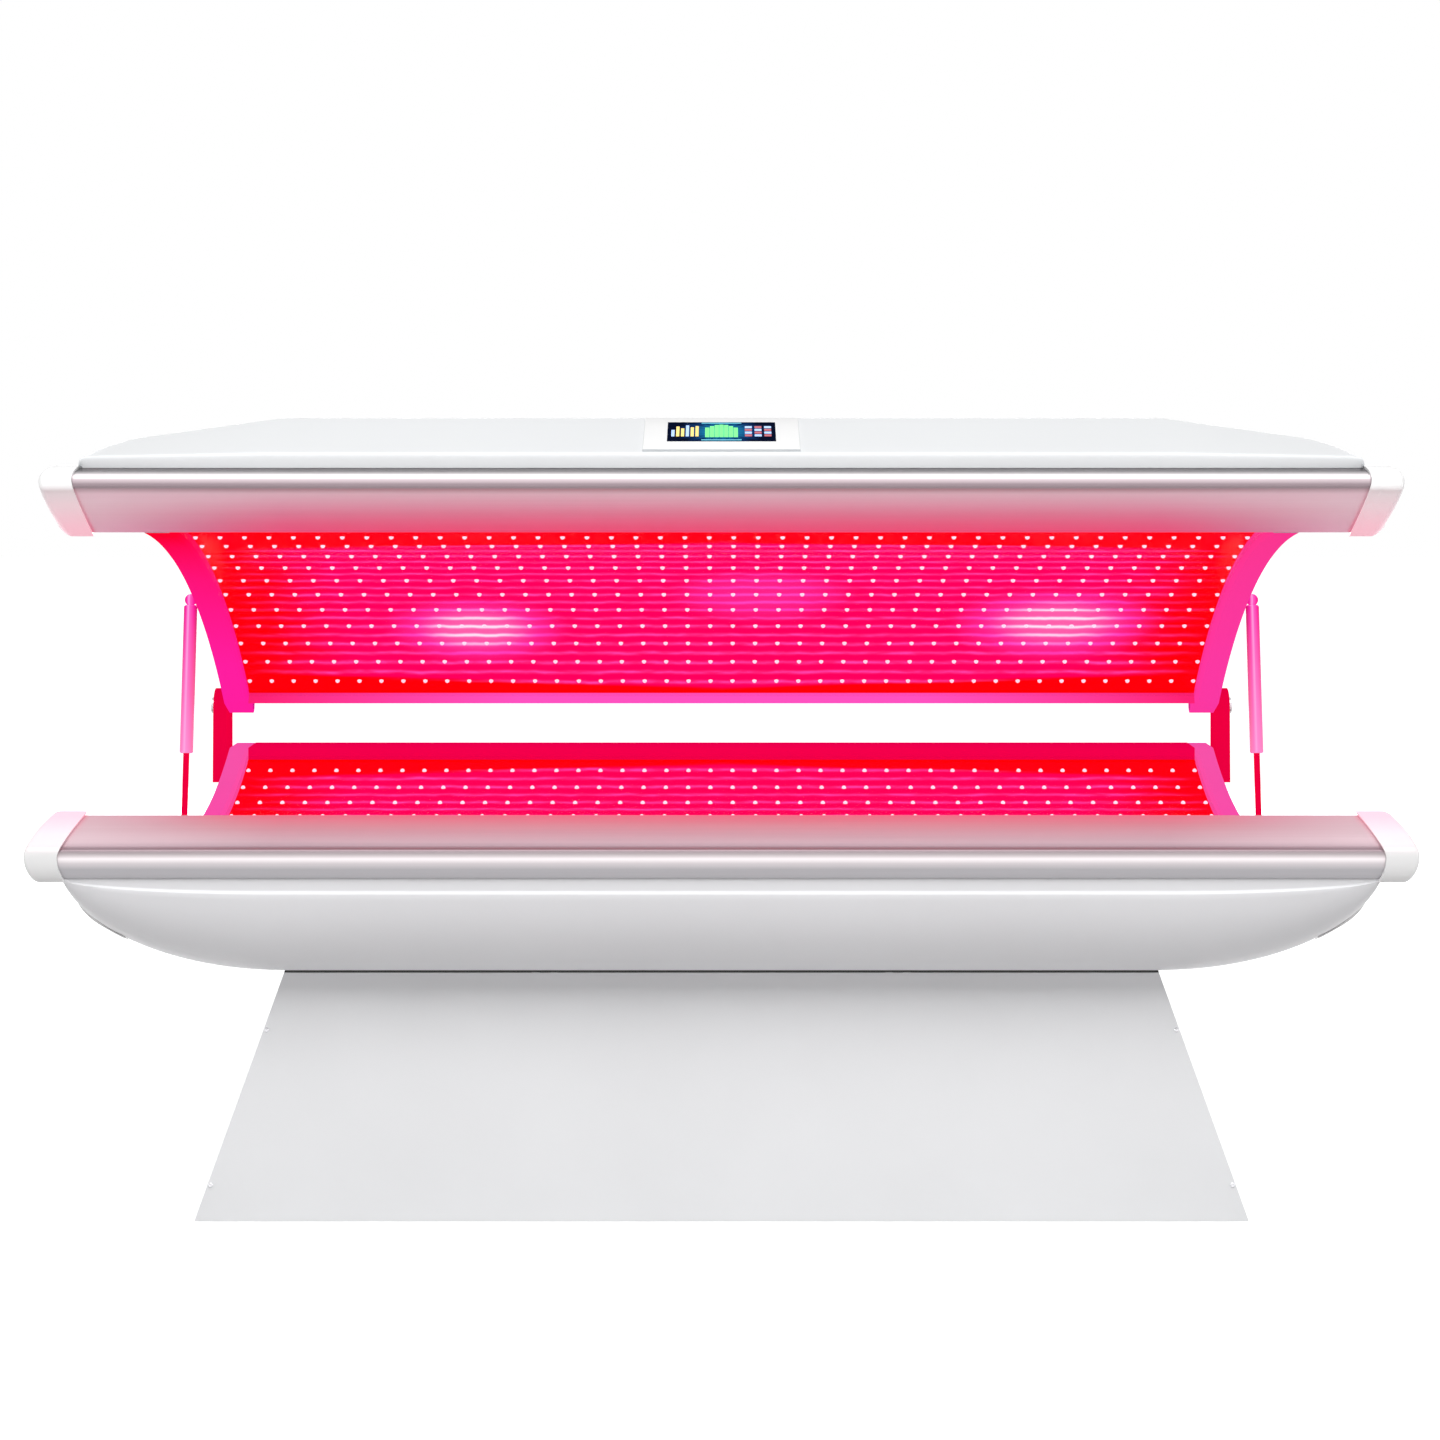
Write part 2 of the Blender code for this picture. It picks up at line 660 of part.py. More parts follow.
def stepped_panel(name, parent, side, rim, plate_edge, band_edge):
    """A thin plate with a wide band along its rim.

    The plate's and the band's other edges run back from the rim's end, and both stop straight behind
    its start, so that their front edges lie in one plane.
    """
    inner = side * END_PANEL_IN
    step = side * (END_PANEL_IN + END_PANEL_WALL)
    outer = side * END_PANEL_OUT

    def row(bm, x, path):
        return [bm.verts.new((x, y, z)) for y, z in path]

    def strip(bm, near, far):
        for i in range(len(near) - 1):
            bm.faces.new((near[i], near[i + 1], far[i + 1], far[i]))

    bm = bmesh.new()
    rims = [row(bm, x, rim) for x in (inner, step, outer)]
    plates = [row(bm, x, plate_edge) for x in (inner, step)]
    bands = [row(bm, x, band_edge) for x in (step, outer)]
    strip(bm, rims[0], rims[1])
    strip(bm, rims[1], rims[2])
    plate_runs = [rims[k][-1:] + plates[k] for k in (0, 1)]
    band_runs = [rims[k + 1][-1:] + bands[k] + rims[k + 1][:1] for k in (0, 1)]
    strip(bm, *plate_runs)
    strip(bm, *band_runs)
    bm.faces.new((plates[0][-1], rims[0][0], rims[1][0], bands[0][-1], plates[1][-1]))
    bm.faces.new(rims[0] + plates[0])
    bm.faces.new(rims[2] + bands[1])
    bm.faces.new(plate_runs[1] + bands[0][::-1])
    return add_piece(name, bm, parent, "pink_panel")


def bed_end_panel(name, parent, side, arc, front):
    """End of the bed's light field, with a block at the rear for the hinge bracket."""
    rear = BED_DEPTH - PANEL_REAR_MARGIN
    floor = hull_floor(END_PANEL_OUT) + PANEL_FLOOR_CLEARANCE
    skirt = BED_REAR_TOP_Z - PANEL_SKIRT
    rim = arc.layer(0.0, front, BED_REAR_FACE) + [(rear, BED_REAR_TOP_Z), (rear, skirt)]
    plate_edge = [
        (rear - PANEL_SLOPE, floor),
        (front + PANEL_SLOPE, floor),
        (front, skirt),
    ]
    band_edge = [(BED_REAR_FACE, skirt)] + arc.layer(RIM_BAND, BED_REAR_FACE, front)
    return stepped_panel(name, parent, side, rim, plate_edge, band_edge)


def canopy_end_panel(name, parent, side, arc, front):
    """End of the canopy's light field, with the hinge ear at the rear."""
    top = CANOPY_SEAM_Z + CANOPY_PANEL_RISE
    rim = arc.layer(0.0, front, CANOPY_REAR_FACE)
    for i in range(EAR_STEPS + 1):
        angle = math.pi * i / EAR_STEPS - math.pi / 2
        depth = HINGE_DEPTH + HINGE_EAR_RADIUS * math.cos(angle)
        rim.append((depth, HINGE_Z + HINGE_EAR_RADIUS * math.sin(angle)))
    plate_edge = [
        (CANOPY_REAR_FACE, CANOPY_SEAM_Z),
        (CANOPY_REAR_FACE - PANEL_SLOPE, top),
        (front + PANEL_SLOPE, top),
        (front, CANOPY_SEAM_Z - RAIL_BULGE_RISE),
    ]
    band_edge = arc.layer(RIM_BAND, CANOPY_REAR_FACE, front)
    panel = stepped_panel(name, parent, side, rim, plate_edge, band_edge)
    bm = bmesh.new()
    start = along_x(side, END_PANEL_IN - END_PANEL_WALL, HINGE_DEPTH, HINGE_Z)
    rod(bm, HINGE_PIN_RADIUS + GAP, END_PANEL_BAND + 2 * END_PANEL_WALL, start)
    combine(panel, bm, "DIFFERENCE", panel.location)
    return panel


# Rear rails

def rear_rail(name, parent, path, wall):
    """An open channel between the end panels."""
    bm = bmesh.new()
    wall_strip(bm, path, offset_path(path, wall), lambda z: -FIELD_HALF, lambda z: FIELD_HALF)
    return add_piece(name, bm, parent, "pink_panel")


def bed_rear_rail(parent):
    """Channel on the hull's rear rim whose front face closes the light field."""
    rim = HULL_REAR_RIM_Z + GAP
    path = [
        (HULL_REAR - RAIL_FLANGE, rim),
        (HULL_REAR, rim),
        (BED_DEPTH, rim + BED_REAR_FLARE),
        (BED_DEPTH, BED_REAR_TOP_Z - BED_REAR_CHAMFER),
        (BED_DEPTH - BED_REAR_CHAMFER, BED_REAR_TOP_Z),
        (BED_REAR_FACE + GAP, BED_REAR_TOP_Z),
        (BED_REAR_FACE + GAP, BED_REAR_TOP_Z - BED_REAR_LIP),
    ]
    return rear_rail("bed_rear_rail", parent, path, -REAR_RAIL_WALL)


def canopy_rear_rail(parent, place):
    """Channel along the canopy's rear edge, under the shell's rim."""
    rim = CANOPY_SEAM_Z - GAP
    path = [
        (SHELL_REAR - RAIL_FLANGE, rim),
        (SHELL_REAR, rim),
        (SHELL_REAR, CANOPY_REAR_BOTTOM_Z + CANOPY_REAR_LIP),
        (SHELL_REAR - CANOPY_REAR_CHAMFER, CANOPY_REAR_BOTTOM_Z),
        (CANOPY_REAR_FACE + GAP, CANOPY_REAR_BOTTOM_Z),
        (CANOPY_REAR_FACE + GAP, CANOPY_REAR_BOTTOM_Z + CANOPY_REAR_LIP),
    ]
    rail = rear_rail("canopy_rear_rail", parent, path, REAR_RAIL_WALL)
    rail.location = place
    return rail


# Canopy shell and control panel

def shell_point(side, share, angle, shrink):
    """A point on the canopy's dome, or on its inside where the shrink is its wall."""
    middle = (SHELL_FRONT + SHELL_REAR) / 2
    depth = middle - (SHELL_REAR - SHELL_FRONT - 2 * shrink) / 2 * math.cos(angle)
    nearness = max(0.0, 1 - (depth - SHELL_FRONT) / SHELL_TAPER)
    half = SHELL_REAR_HALF + (SHELL_FRONT_HALF - SHELL_REAR_HALF) * nearness ** 2
    turn = share * math.pi / 2
    x = SHELL_FLAT_HALF + (half - SHELL_FLAT_HALF - shrink) * math.sin(turn)
    rise = (SHELL_HEIGHT - shrink) * math.cos(turn) * math.sin(angle)
    return Vector((side * x, depth, CANOPY_SEAM_Z + rise))


def shell(parent, place):
    """The canopy's outer dome, with a hole at each end for a strut's stud."""
    shares = [step / SHELL_END_STEPS for step in range(SHELL_END_STEPS + 1)]
    columns = [(-1, share) for share in reversed(shares)] + [(1, share) for share in shares]
    angles = [math.pi * step / SHELL_SIDE_STEPS for step in range(SHELL_SIDE_STEPS + 1)]
    grids = []
    for shrink in (0.0, SHELL_WALL):
        grids.append([[shell_point(*column, angle, shrink) for column in columns] for angle in angles])
    bm = bmesh.new()
    closed_skin(bm, *grids)
    piece = add_piece("canopy_shell", bm, parent, "white_shell", place)
    bm = bmesh.new()
    hole = STUD_RADIUS + STUD_HOLE_CLEARANCE
    start = STUD_START + STUD_FLANGE
    for side in (-1, 1):
        rod(bm, hole, STRUT_X - start, along_x(side, start, STRUT_UPPER_DEPTH, STRUT_UPPER_Z))
    combine(piece, bm, "DIFFERENCE", place, "MANIFOLD")
    return piece


def control_slab(width, length, shift, low, high):
    """A slab on the control panel's slope, shifted up the slope, between two heights over its plate."""
    tilt = math.radians(CONTROL_TILT)
    along = Vector((math.cos(tilt), math.sin(tilt)))
    out = Vector((-along.y, along.x))
    centre = Vector((CONTROL_DEPTH, CANOPY_SEAM_Z + CONTROL_RISE)) + along * shift
    corners = []
    for end, height in ((-0.5, low), (0.5, low), (0.5, high), (-0.5, high)):
        corners.append(tuple(centre + along * length * end + out * height))
    bm = bmesh.new()
    prism_x(bm, corners, -width / 2, width / 2)
    return bm


def control_panel(parent, place, dome):
    """A block through the dome's front slope, with the screen let into its plate."""
    room = 2 * GAP
    deep = -2 * CONTROL_THICK
    hole = control_slab(CONTROL_WIDTH + room, CONTROL_LENGTH + room, 0.0, deep, CONTROL_THICK)
    combine(dome, hole, "DIFFERENCE", place, "MANIFOLD")
    block = control_slab(CONTROL_WIDTH, CONTROL_LENGTH, 0.0, -CONTROL_THICK, 0.0)
    housing = add_piece("control_panel_housing", block, parent, "white_cap", place)
    floor = SCREEN_PROUD - SCREEN_THICK
    width = SCREEN_WIDTH + room
    length = SCREEN_LENGTH + room
    pocket = control_slab(width, length, SCREEN_OFFSET, floor - GAP, SCREEN_THICK)
    combine(housing, pocket, "DIFFERENCE", place)
    glass = control_slab(SCREEN_WIDTH, SCREEN_LENGTH, SCREEN_OFFSET, floor, SCREEN_PROUD)
    add_piece("control_screen", glass, parent, "screen", place)


# Hinges and gas struts

def hinge(parent, label, side):
    """A bracket on the bed's end panel, and the pin through it and the canopy's ear."""
    outline = []
    for i in range(2 * EAR_STEPS + 1):
        angle = math.pi * i / (2 * EAR_STEPS)
        depth = HINGE_DEPTH + HINGE_BRACKET_RADIUS * math.cos(angle)
        outline.append((depth, HINGE_Z + HINGE_BRACKET_RADIUS * math.sin(angle)))
    outline.append((HINGE_DEPTH - HINGE_BRACKET_TOE, HINGE_BRACKET_BOTTOM_Z))
    outline.append((HINGE_DEPTH + HINGE_BRACKET_RADIUS, HINGE_BRACKET_BOTTOM_Z))
    bm = bmesh.new()
    prism_x(bm, outline, side * BRACKET_IN, side * BRACKET_OUT)
    bracket = add_piece("hinge_bracket_" + label, bm, parent, "pink_panel")
    bm = bmesh.new()
    spare = END_PANEL_WALL
    length = HINGE_BRACKET_THICK + 2 * spare
    rod(bm, HINGE_PIN_RADIUS + GAP, length, along_x(side, BRACKET_IN - spare, HINGE_DEPTH, HINGE_Z))
    combine(bracket, bm, "DIFFERENCE")

    shaft = BRACKET_OUT + GAP - END_PANEL_IN
    profile = [
        (0.0, 0.0),
        (HINGE_PIN_RADIUS, 0.0),
        (HINGE_PIN_RADIUS, shaft),
        (HINGE_PIN_HEAD_RADIUS, shaft),
        (HINGE_PIN_HEAD_RADIUS, shaft + HINGE_PIN_HEAD),
        (0.0, shaft + HINGE_PIN_HEAD),
    ]
    bm = bmesh.new()
    turned(bm, profile, along_x(side, END_PANEL_IN, HINGE_DEPTH, HINGE_Z))
    add_piece("hinge_pin_" + label, bm, parent, "steel")


def stud(name, parent, side, depth, height, place=(0.0, 0.0, 0.0)):
    """A flanged stud on an end panel's plate, out to the ball of a strut."""
    length = STUD_END - STUD_START
    profile = [
        (0.0, 0.0),
        (STUD_FLANGE_RADIUS, 0.0),
        (STUD_FLANGE_RADIUS, STUD_FLANGE),
        (STUD_RADIUS, STUD_FLANGE),
        (STUD_RADIUS, length),
        (0.0, length),
    ]
    bm = bmesh.new()
    turned(bm, profile, along_x(side, STUD_START, depth, height))
    return add_piece(name, bm, parent, "steel", place)


def ball_profile(centre, first, last, steps):
    """Part of a ball's outline as (radius, height) points between two angles from straight up."""
    points = []
    for i in range(steps + 1):
        angle = first + (last - first) * i / steps
        radius = STRUT_BALL_RADIUS * math.sin(angle)
        points.append((radius if i or first else 0.0, centre + STRUT_BALL_RADIUS * math.cos(angle)))
    return points


def strut(root, label, side):
    """A gas strut that holds the canopy open: a tube on the canopy's stud and a rod on the bed's."""
    closed = Vector((0.0, STRUT_UPPER_DEPTH, STRUT_UPPER_Z))
    upper = HINGE + Matrix.Rotation(-math.radians(OPEN_ANGLE), 3, "X") @ (closed - HINGE)
    lower = Vector((0.0, STRUT_LOWER_DEPTH, STRUT_LOWER_Z))
    reach = lower - upper
    length = reach.length
    turn = math.atan2(reach.y, -reach.z)
    upper.x = side * STRUT_X
    pivot = add_empty("strut_pivot_" + label, root, upper, turn)
    neck_angle = math.pi - math.asin(STRUT_NECK_RADIUS / STRUT_BALL_RADIUS)
    bore = STRUT_ROD_RADIUS + GAP

    profile = ball_profile(0.0, 0.0, neck_angle, EAR_STEPS)
    profile += [
        (STRUT_NECK_RADIUS, -STRUT_TUBE_START),
        (STRUT_TUBE_RADIUS, -STRUT_TUBE_START),
        (STRUT_TUBE_RADIUS, -STRUT_TUBE_END),
        (bore, -STRUT_TUBE_END),
        (bore, -STRUT_BORE_TOP),
        (0.0, -STRUT_BORE_TOP),
    ]
    bm = bmesh.new()
    turned(bm, profile, Matrix.Identity(4))
    add_piece("strut_cylinder_" + label, bm, pivot, "strut")

    rod_angle = math.asin(STRUT_ROD_RADIUS / STRUT_BALL_RADIUS)
    profile = [(0.0, -STRUT_ROD_TOP), (STRUT_ROD_RADIUS, -STRUT_ROD_TOP)]
    profile += ball_profile(-length, rod_angle, math.pi, EAR_STEPS)[:-1]
    profile.append((0.0, -length - STRUT_BALL_RADIUS))
    bm = bmesh.new()
    turned(bm, profile, Matrix.Identity(4))
    add_piece("strut_rod_" + label, bm, pivot, "strut")


# Pedestal

def base_half(height):
    """Half-length of the pedestal at a height: it widens towards the floor."""
    share = (HULL_BOTTOM_Z - GAP - height) / (HULL_BOTTOM_Z - GAP - BASE_BOTTOM_Z)
    return BASE_TOP_HALF + (BASE_FOOT_HALF - BASE_TOP_HALF) * share


def pedestal(root):
    """Folded sheet-metal panels round a floor pan on four feet."""
    top = HULL_BOTTOM_Z - GAP
    low = BASE_BOTTOM_Z
    trapezoid = [(-BASE_TOP_HALF, top), (BASE_TOP_HALF, top), (BASE_FOOT_HALF, low), (-BASE_FOOT_HALF, low)]
    bm = bmesh.new()
    prism_y(bm, trapezoid, BASE_FRONT, BASE_FRONT + BASE_SHEET)
    add_piece("base_front_panel", bm, root, "white_panel")
    bm = bmesh.new()
    prism_y(bm, trapezoid, BASE_REAR - BASE_SHEET, BASE_REAR)
    rear = add_piece("base_rear_panel", bm, root, "white_panel")
    bm = bmesh.new()
    for side in (-1, 1):
        rod(bm, VENT_RADIUS, 4 * BASE_SHEET, along_y(side * FAN_X, BASE_REAR - 3 * BASE_SHEET, FAN_Z))
    half_width = INLET_BODY_WIDTH / 2 + GAP
    half_height = INLET_BODY_HEIGHT / 2 + GAP
    box(bm, (INLET_X - half_width, BASE_REAR - 3 * BASE_SHEET, INLET_Z - half_height),
        (INLET_X + half_width, BASE_REAR + BASE_SHEET, INLET_Z + half_height))
    combine(rear, bm, "DIFFERENCE")

    front = BASE_FRONT + BASE_SHEET + GAP
    back = BASE_REAR - BASE_SHEET - GAP
    for label, side in SIDES:
        outline = [(side * BASE_TOP_HALF, top), (side * BASE_FOOT_HALF, low)]
        outline += [(side * (x * side - BASE_SHEET), z) for x, z in reversed(outline)]
        bm = bmesh.new()
        prism_y(bm, outline, front, back)
        add_piece("base_side_panel_" + label, bm, root, "white_panel")

    pan_top = low + BASE_PAN_THICK
    half = base_half(pan_top) - BASE_SHEET - GAP
    bm = bmesh.new()
    box(bm, (-half, front, low), (half, back, pan_top))
    add_piece("base_floor_pan", bm, root, "tray")

    pad = BASE_BOTTOM_Z - GAP
    profile = [
        (0.0, 0.0),
        (FOOT_RADIUS, 0.0),
        (FOOT_RADIUS, pad - FOOT_CHAMFER),
        (FOOT_RADIUS - FOOT_CHAMFER, pad),
        (0.0, pad),
    ]
    for end, depth in (("front", BASE_FRONT + FOOT_INSET), ("rear", BASE_REAR - FOOT_INSET)):
        for label, side in SIDES:
            bm = bmesh.new()
            turned(bm, profile, Matrix.Translation((side * FOOT_X, depth, 0.0)))
            add_piece("levelling_foot_" + end + "_" + label, bm, root, "black")

    for label, side in SIDES:
        bm = bmesh.new()
        centre = side * SUPPLY_X
        low_corner = (centre - SUPPLY_LENGTH / 2, SUPPLY_DEPTH, pan_top + GAP)
        high_corner = (centre + SUPPLY_LENGTH / 2, SUPPLY_DEPTH + SUPPLY_WIDTH, pan_top + GAP + SUPPLY_HEIGHT)
        box(bm, low_corner, high_corner)
        add_piece("power_supply_" + label, bm, root, "tray")


def fan(root, label, side):
    """A cooling fan behind a vent in the rear panel: a square frame with a motor mount, and its rotor."""
    rear = BASE_REAR - BASE_SHEET - GAP
    front = rear - FAN_THICK
    x = side * FAN_X
    half = FAN_SIZE / 2
    bm = bmesh.new()
    box(bm, (x - half, front, FAN_Z - half), (x + half, rear, FAN_Z + half))
    frame = add_piece("fan_frame_" + label, bm, root, "black")
    bm = bmesh.new()
    rod(bm, FAN_BORE_RADIUS, 2 * FAN_THICK, along_y(x, front - FAN_THICK / 2, FAN_Z))
    combine(frame, bm, "DIFFERENCE")

    reach = (FAN_BORE_RADIUS + half) / 2
    outline = []
    spread = math.asin(FAN_ARM_HALF / FAN_MOUNT_RADIUS)
    for arm in range(FAN_ARMS):
        angle = 2 * math.pi * arm / FAN_ARMS + math.pi / FAN_ARMS
        for turn in (-spread, spread):
            foot = Vector((math.cos(angle + turn), math.sin(angle + turn))) * FAN_MOUNT_RADIUS
            length = reach - FAN_MOUNT_RADIUS * math.cos(spread)
            pair = [foot, foot + Vector((math.cos(angle), math.sin(angle))) * length]
            outline += pair if turn < 0 else pair[::-1]
    outline = [(x + point.x, FAN_Z + point.y) for point in outline]
    bm = bmesh.new()
    prism_y(bm, outline, front + GAP, front + FAN_MOUNT_THICK)
    combine(frame, bm, "UNION")

    hub_front = front + FAN_MOUNT_THICK + GAP
    hub_length = rear - FAN_END_CLEARANCE - hub_front
    pivot = add_empty("fan_pivot_" + label, root, (x, hub_front, FAN_Z))
    bm = bmesh.new()
    rod(bm, FAN_HUB_RADIUS, hub_length, along_y(0.0, 0.0, 0.0))
    rotor = add_piece("fan_rotor_" + label, bm, pivot, "black")
    bm = bmesh.new()
    pitch = math.radians(FAN_BLADE_PITCH)
    chord = FAN_BLADE_CHORD / 2
    skin = FAN_BLADE_THICK / 2
    corners = [(-chord, -skin), (chord, -skin), (chord, skin), (-chord, skin)]
    for blade in range(FAN_BLADES):
        spin = Matrix.Rotation(2 * math.pi * blade / FAN_BLADES, 4, "Y")
        place = Matrix.Translation((0.0, hub_length / 2, 0.0)) @ spin @ Matrix.Rotation(pitch, 4, "Z")
        sections = []
        for radius in (FAN_HUB_RADIUS - 2 * FAN_BLADE_THICK, FAN_BLADE_RADIUS):
            sections.append([place @ Vector((u, v, radius)) for u, v in corners])
        loft(bm, sections)
    combine(rotor, bm, "UNION")


def mains_inlet(root):
    """Appliance inlet in the rear panel, with a socket below and a rocker switch above."""
    face = BASE_REAR + GAP
    outside = face + INLET_FLANGE

    def block(width, height, z, low, high):
        bm = bmesh.new()
        box(bm, (INLET_X - width / 2, low, z - height / 2), (INLET_X + width / 2, high, z + height / 2))
        return bm

    flange = block(INLET_WIDTH, INLET_HEIGHT, INLET_Z, face, outside)
    inlet = add_piece("mains_inlet", flange, root, "black")
    inside = face - INLET_BODY_LENGTH
    body = block(INLET_BODY_WIDTH, INLET_BODY_HEIGHT, INLET_Z, inside, face + INLET_FLANGE / 2)
    combine(inlet, body, "UNION")
    clear = outside + INLET_FLANGE
    socket = block(SOCKET_WIDTH, SOCKET_HEIGHT, INLET_Z - SOCKET_DROP, face - SOCKET_LENGTH, clear)
    combine(inlet, socket, "DIFFERENCE")

    rocker_z = INLET_Z + ROCKER_LIFT
    room = 2 * (ROCKER_RADIUS + ROCKER_CLEARANCE)
    deep = face - ROCKER_RADIUS - ROCKER_CLEARANCE
    pocket = block(ROCKER_WIDTH + 2 * GAP, room, rocker_z, deep, clear)
    combine(inlet, pocket, "DIFFERENCE")

    tilt = math.radians(ROCKER_TILT)
    edge = math.acos(ROCKER_PROUD / ROCKER_RADIUS)
    outline = []
    for i in range(EAR_STEPS + 1):
        angle = edge + (2 * math.pi - 2 * edge) * i / EAR_STEPS
        outline.append((ROCKER_RADIUS * math.cos(angle), ROCKER_RADIUS * math.sin(angle)))
    dip = ROCKER_PROUD - ROCKER_RADIUS * math.sin(edge) * math.tan(tilt)
    outline.append((dip, 0.0))
    pivot = add_empty("rocker_pivot", root, (INLET_X, face, rocker_z), -tilt)
    bm = bmesh.new()
    prism_x(bm, outline, -ROCKER_WIDTH / 2, ROCKER_WIDTH / 2)
    add_piece("mains_rocker", bm, pivot, "black")


# Assembly

def build_bed(root):
    """Everything that stays still."""
    pedestal(root)
    for label, side in SIDES:
        fan(root, label, side)
    mains_inlet(root)
    hull(root)
    front_rail("bed_front_rail", root, BED_RAIL_RUN, BED_RAIL_RISE, BED_SEAM_Z, 1)
    bed_rear_rail(root)
    arc = Arc((BED_RAIL_RUN, BED_RAIL_TOP_Z), (BED_REAR_FACE, BED_REAR_TOP_Z), BED_SAG, 1)
    front = BED_RAIL_RUN + RAIL_LIP_RUN + GAP
    light_field("bed", root, arc, front, BED_REAR_FACE)
    for label, side in SIDES:
        rail_cap("bed_rail_cap_" + label, root, BED_RAIL_RUN, BED_RAIL_RISE, BED_SEAM_Z, 1, side)
        end_cover("bed_end_cover_" + label, root, side)
        bed_end_panel("bed_end_panel_" + label, root, side, arc, front)
        hinge(root, label, side)
        stud("strut_lower_stud_" + label, root, side, STRUT_LOWER_DEPTH, STRUT_LOWER_Z)


def build_canopy(root):
    """The canopy, modelled closed and held open by its empty on the hinge axis."""
    pivot = add_empty("canopy_pivot", root, HINGE, -math.radians(OPEN_ANGLE))
    place = -HINGE
    control_panel(pivot, place, shell(pivot, place))
    rail = front_rail("canopy_front_rail", pivot, CANOPY_RAIL_RUN, CANOPY_RAIL_RISE, CANOPY_SEAM_Z, -1)
    rail.location = place
    canopy_rear_rail(pivot, place)
    closed = add_empty("canopy_closed_frame", pivot, place)
    arc = Arc((CANOPY_RAIL_RUN, CANOPY_EDGE_Z), (CANOPY_REAR_FACE, CANOPY_REAR_BOTTOM_Z), CANOPY_SAG, -1)
    front = CANOPY_RAIL_RUN + RAIL_LIP_RUN + GAP
    light_field("canopy", closed, arc, front, CANOPY_REAR_FACE)
    rail_size = (CANOPY_RAIL_RUN, CANOPY_RAIL_RISE, CANOPY_SEAM_Z)
    for label, side in SIDES:
        rail_cap("canopy_rail_cap_" + label, closed, *rail_size, -1, side)
        canopy_end_panel("canopy_end_panel_" + label, closed, side, arc, front)
        stud("strut_upper_stud_" + label, closed, side, STRUT_UPPER_DEPTH, STRUT_UPPER_Z)


def main():
    """Build the whole bed with its origin on the floor under its middle."""
    clear_scene()
    root = add_empty("bed_root", None, (0.0, -(BED_DEPTH - CAP_PROUD) / 2, 0.0))
    build_bed(root)
    build_canopy(root)
    for label, side in SIDES:
        strut(root, label, side)


main()
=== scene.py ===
"""Looks of the light therapy bed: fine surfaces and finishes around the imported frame.

Sizes are in metres. Depth is measured to the rear from the front of the bed's rail. The canopy's
pieces are made closed, then swung open about the frame's hinge.
"""
import json
import math

import bmesh
import bpy
from mathutils import Matrix, Vector


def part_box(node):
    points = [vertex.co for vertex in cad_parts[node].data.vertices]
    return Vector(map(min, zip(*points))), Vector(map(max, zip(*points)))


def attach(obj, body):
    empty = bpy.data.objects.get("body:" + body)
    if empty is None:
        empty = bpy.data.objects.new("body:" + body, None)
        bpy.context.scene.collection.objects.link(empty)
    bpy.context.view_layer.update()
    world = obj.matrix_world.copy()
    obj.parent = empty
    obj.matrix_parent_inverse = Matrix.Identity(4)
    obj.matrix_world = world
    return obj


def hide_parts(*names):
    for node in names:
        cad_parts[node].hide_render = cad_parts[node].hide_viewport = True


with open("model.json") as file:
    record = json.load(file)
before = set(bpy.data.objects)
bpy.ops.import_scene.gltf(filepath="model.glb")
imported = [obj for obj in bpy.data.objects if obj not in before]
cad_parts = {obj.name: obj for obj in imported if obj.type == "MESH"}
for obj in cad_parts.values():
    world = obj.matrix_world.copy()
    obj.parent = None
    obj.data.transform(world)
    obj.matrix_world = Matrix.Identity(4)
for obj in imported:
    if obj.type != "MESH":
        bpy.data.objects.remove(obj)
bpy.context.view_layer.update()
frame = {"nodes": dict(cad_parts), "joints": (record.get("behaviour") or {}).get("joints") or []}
SIDES = (("left", -1), ("right", 1))

# Places read from the frame
JOINTS = {joint["name"]: joint for joint in frame["joints"]}
HINGE = Vector(JOINTS["canopy_hinge"]["pos_m"])
OPEN_ANGLE = math.radians(JOINTS["canopy_hinge"]["range_deg"][1])
FRONT_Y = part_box("bed_front_rail")[0].y
HALF_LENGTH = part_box("bed_rail_cap_right")[1].x
RAIL_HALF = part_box("bed_front_rail")[1].x
RAIL_TOP_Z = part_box("bed_front_rail")[1].z
BED_SEAM_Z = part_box("bed_hull")[1].z
HULL_NODE_BOTTOM_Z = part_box("bed_hull")[0].z
BED_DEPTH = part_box("bed_rear_rail")[1].y - FRONT_Y
BED_REAR_TOP_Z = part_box("bed_rear_rail")[1].z
PANEL_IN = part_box("bed_end_panel_right")[0].x
PANEL_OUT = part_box("bed_end_panel_right")[1].x
HINGE_DEPTH = HINGE.y - FRONT_Y
BASE_LOW, BASE_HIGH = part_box("base_front_panel")

# Front rails and their caps
GAP = 0.0003
SMOOTH_UNDER = 35.0
BED_RAIL_RUN = 0.060
BED_BULGE_RISE = 0.033
BED_CREASE_RISE = 0.044
CANOPY_RAIL_RUN = 0.077
CANOPY_RAIL_RISE = 0.073
CANOPY_BULGE_RISE = 0.022
CANOPY_CREASE_RISE = 0.035
SEAM_SETBACK = 0.012
RAIL_FLANGE = 0.018
RAIL_WALL = 0.004
CREASE_SETBACK = 0.0035
FACE_CROWN = 0.006
RAIL_LIP = 0.010
BED_RAIL_SLANT = 0.0265
CANOPY_RAIL_SLANT = 0.020
RAIL_FOOT_SLANT = 0.007
RAIL_END_POWER = 1.35
FOOT_POWER = 2.0
CAP_PROUD = 0.005
CAP_TOP_SLANT = 0.027
CAP_END_POWER = 1.8
CAP_FOOT_SLANT = 0.011
CAP_ROUNDING = 0.007
# Paler painted pink reflection that the rails' faces fade to near their ends
RAIL_END_PAINTED_PINK = (0.66, 0.52, 0.56)
BEAD_STEPS = 14
SHOULDER_STEPS = 6
FACE_STEPS = 12
SEAM_V = 0.10
BULGE_V = 0.40
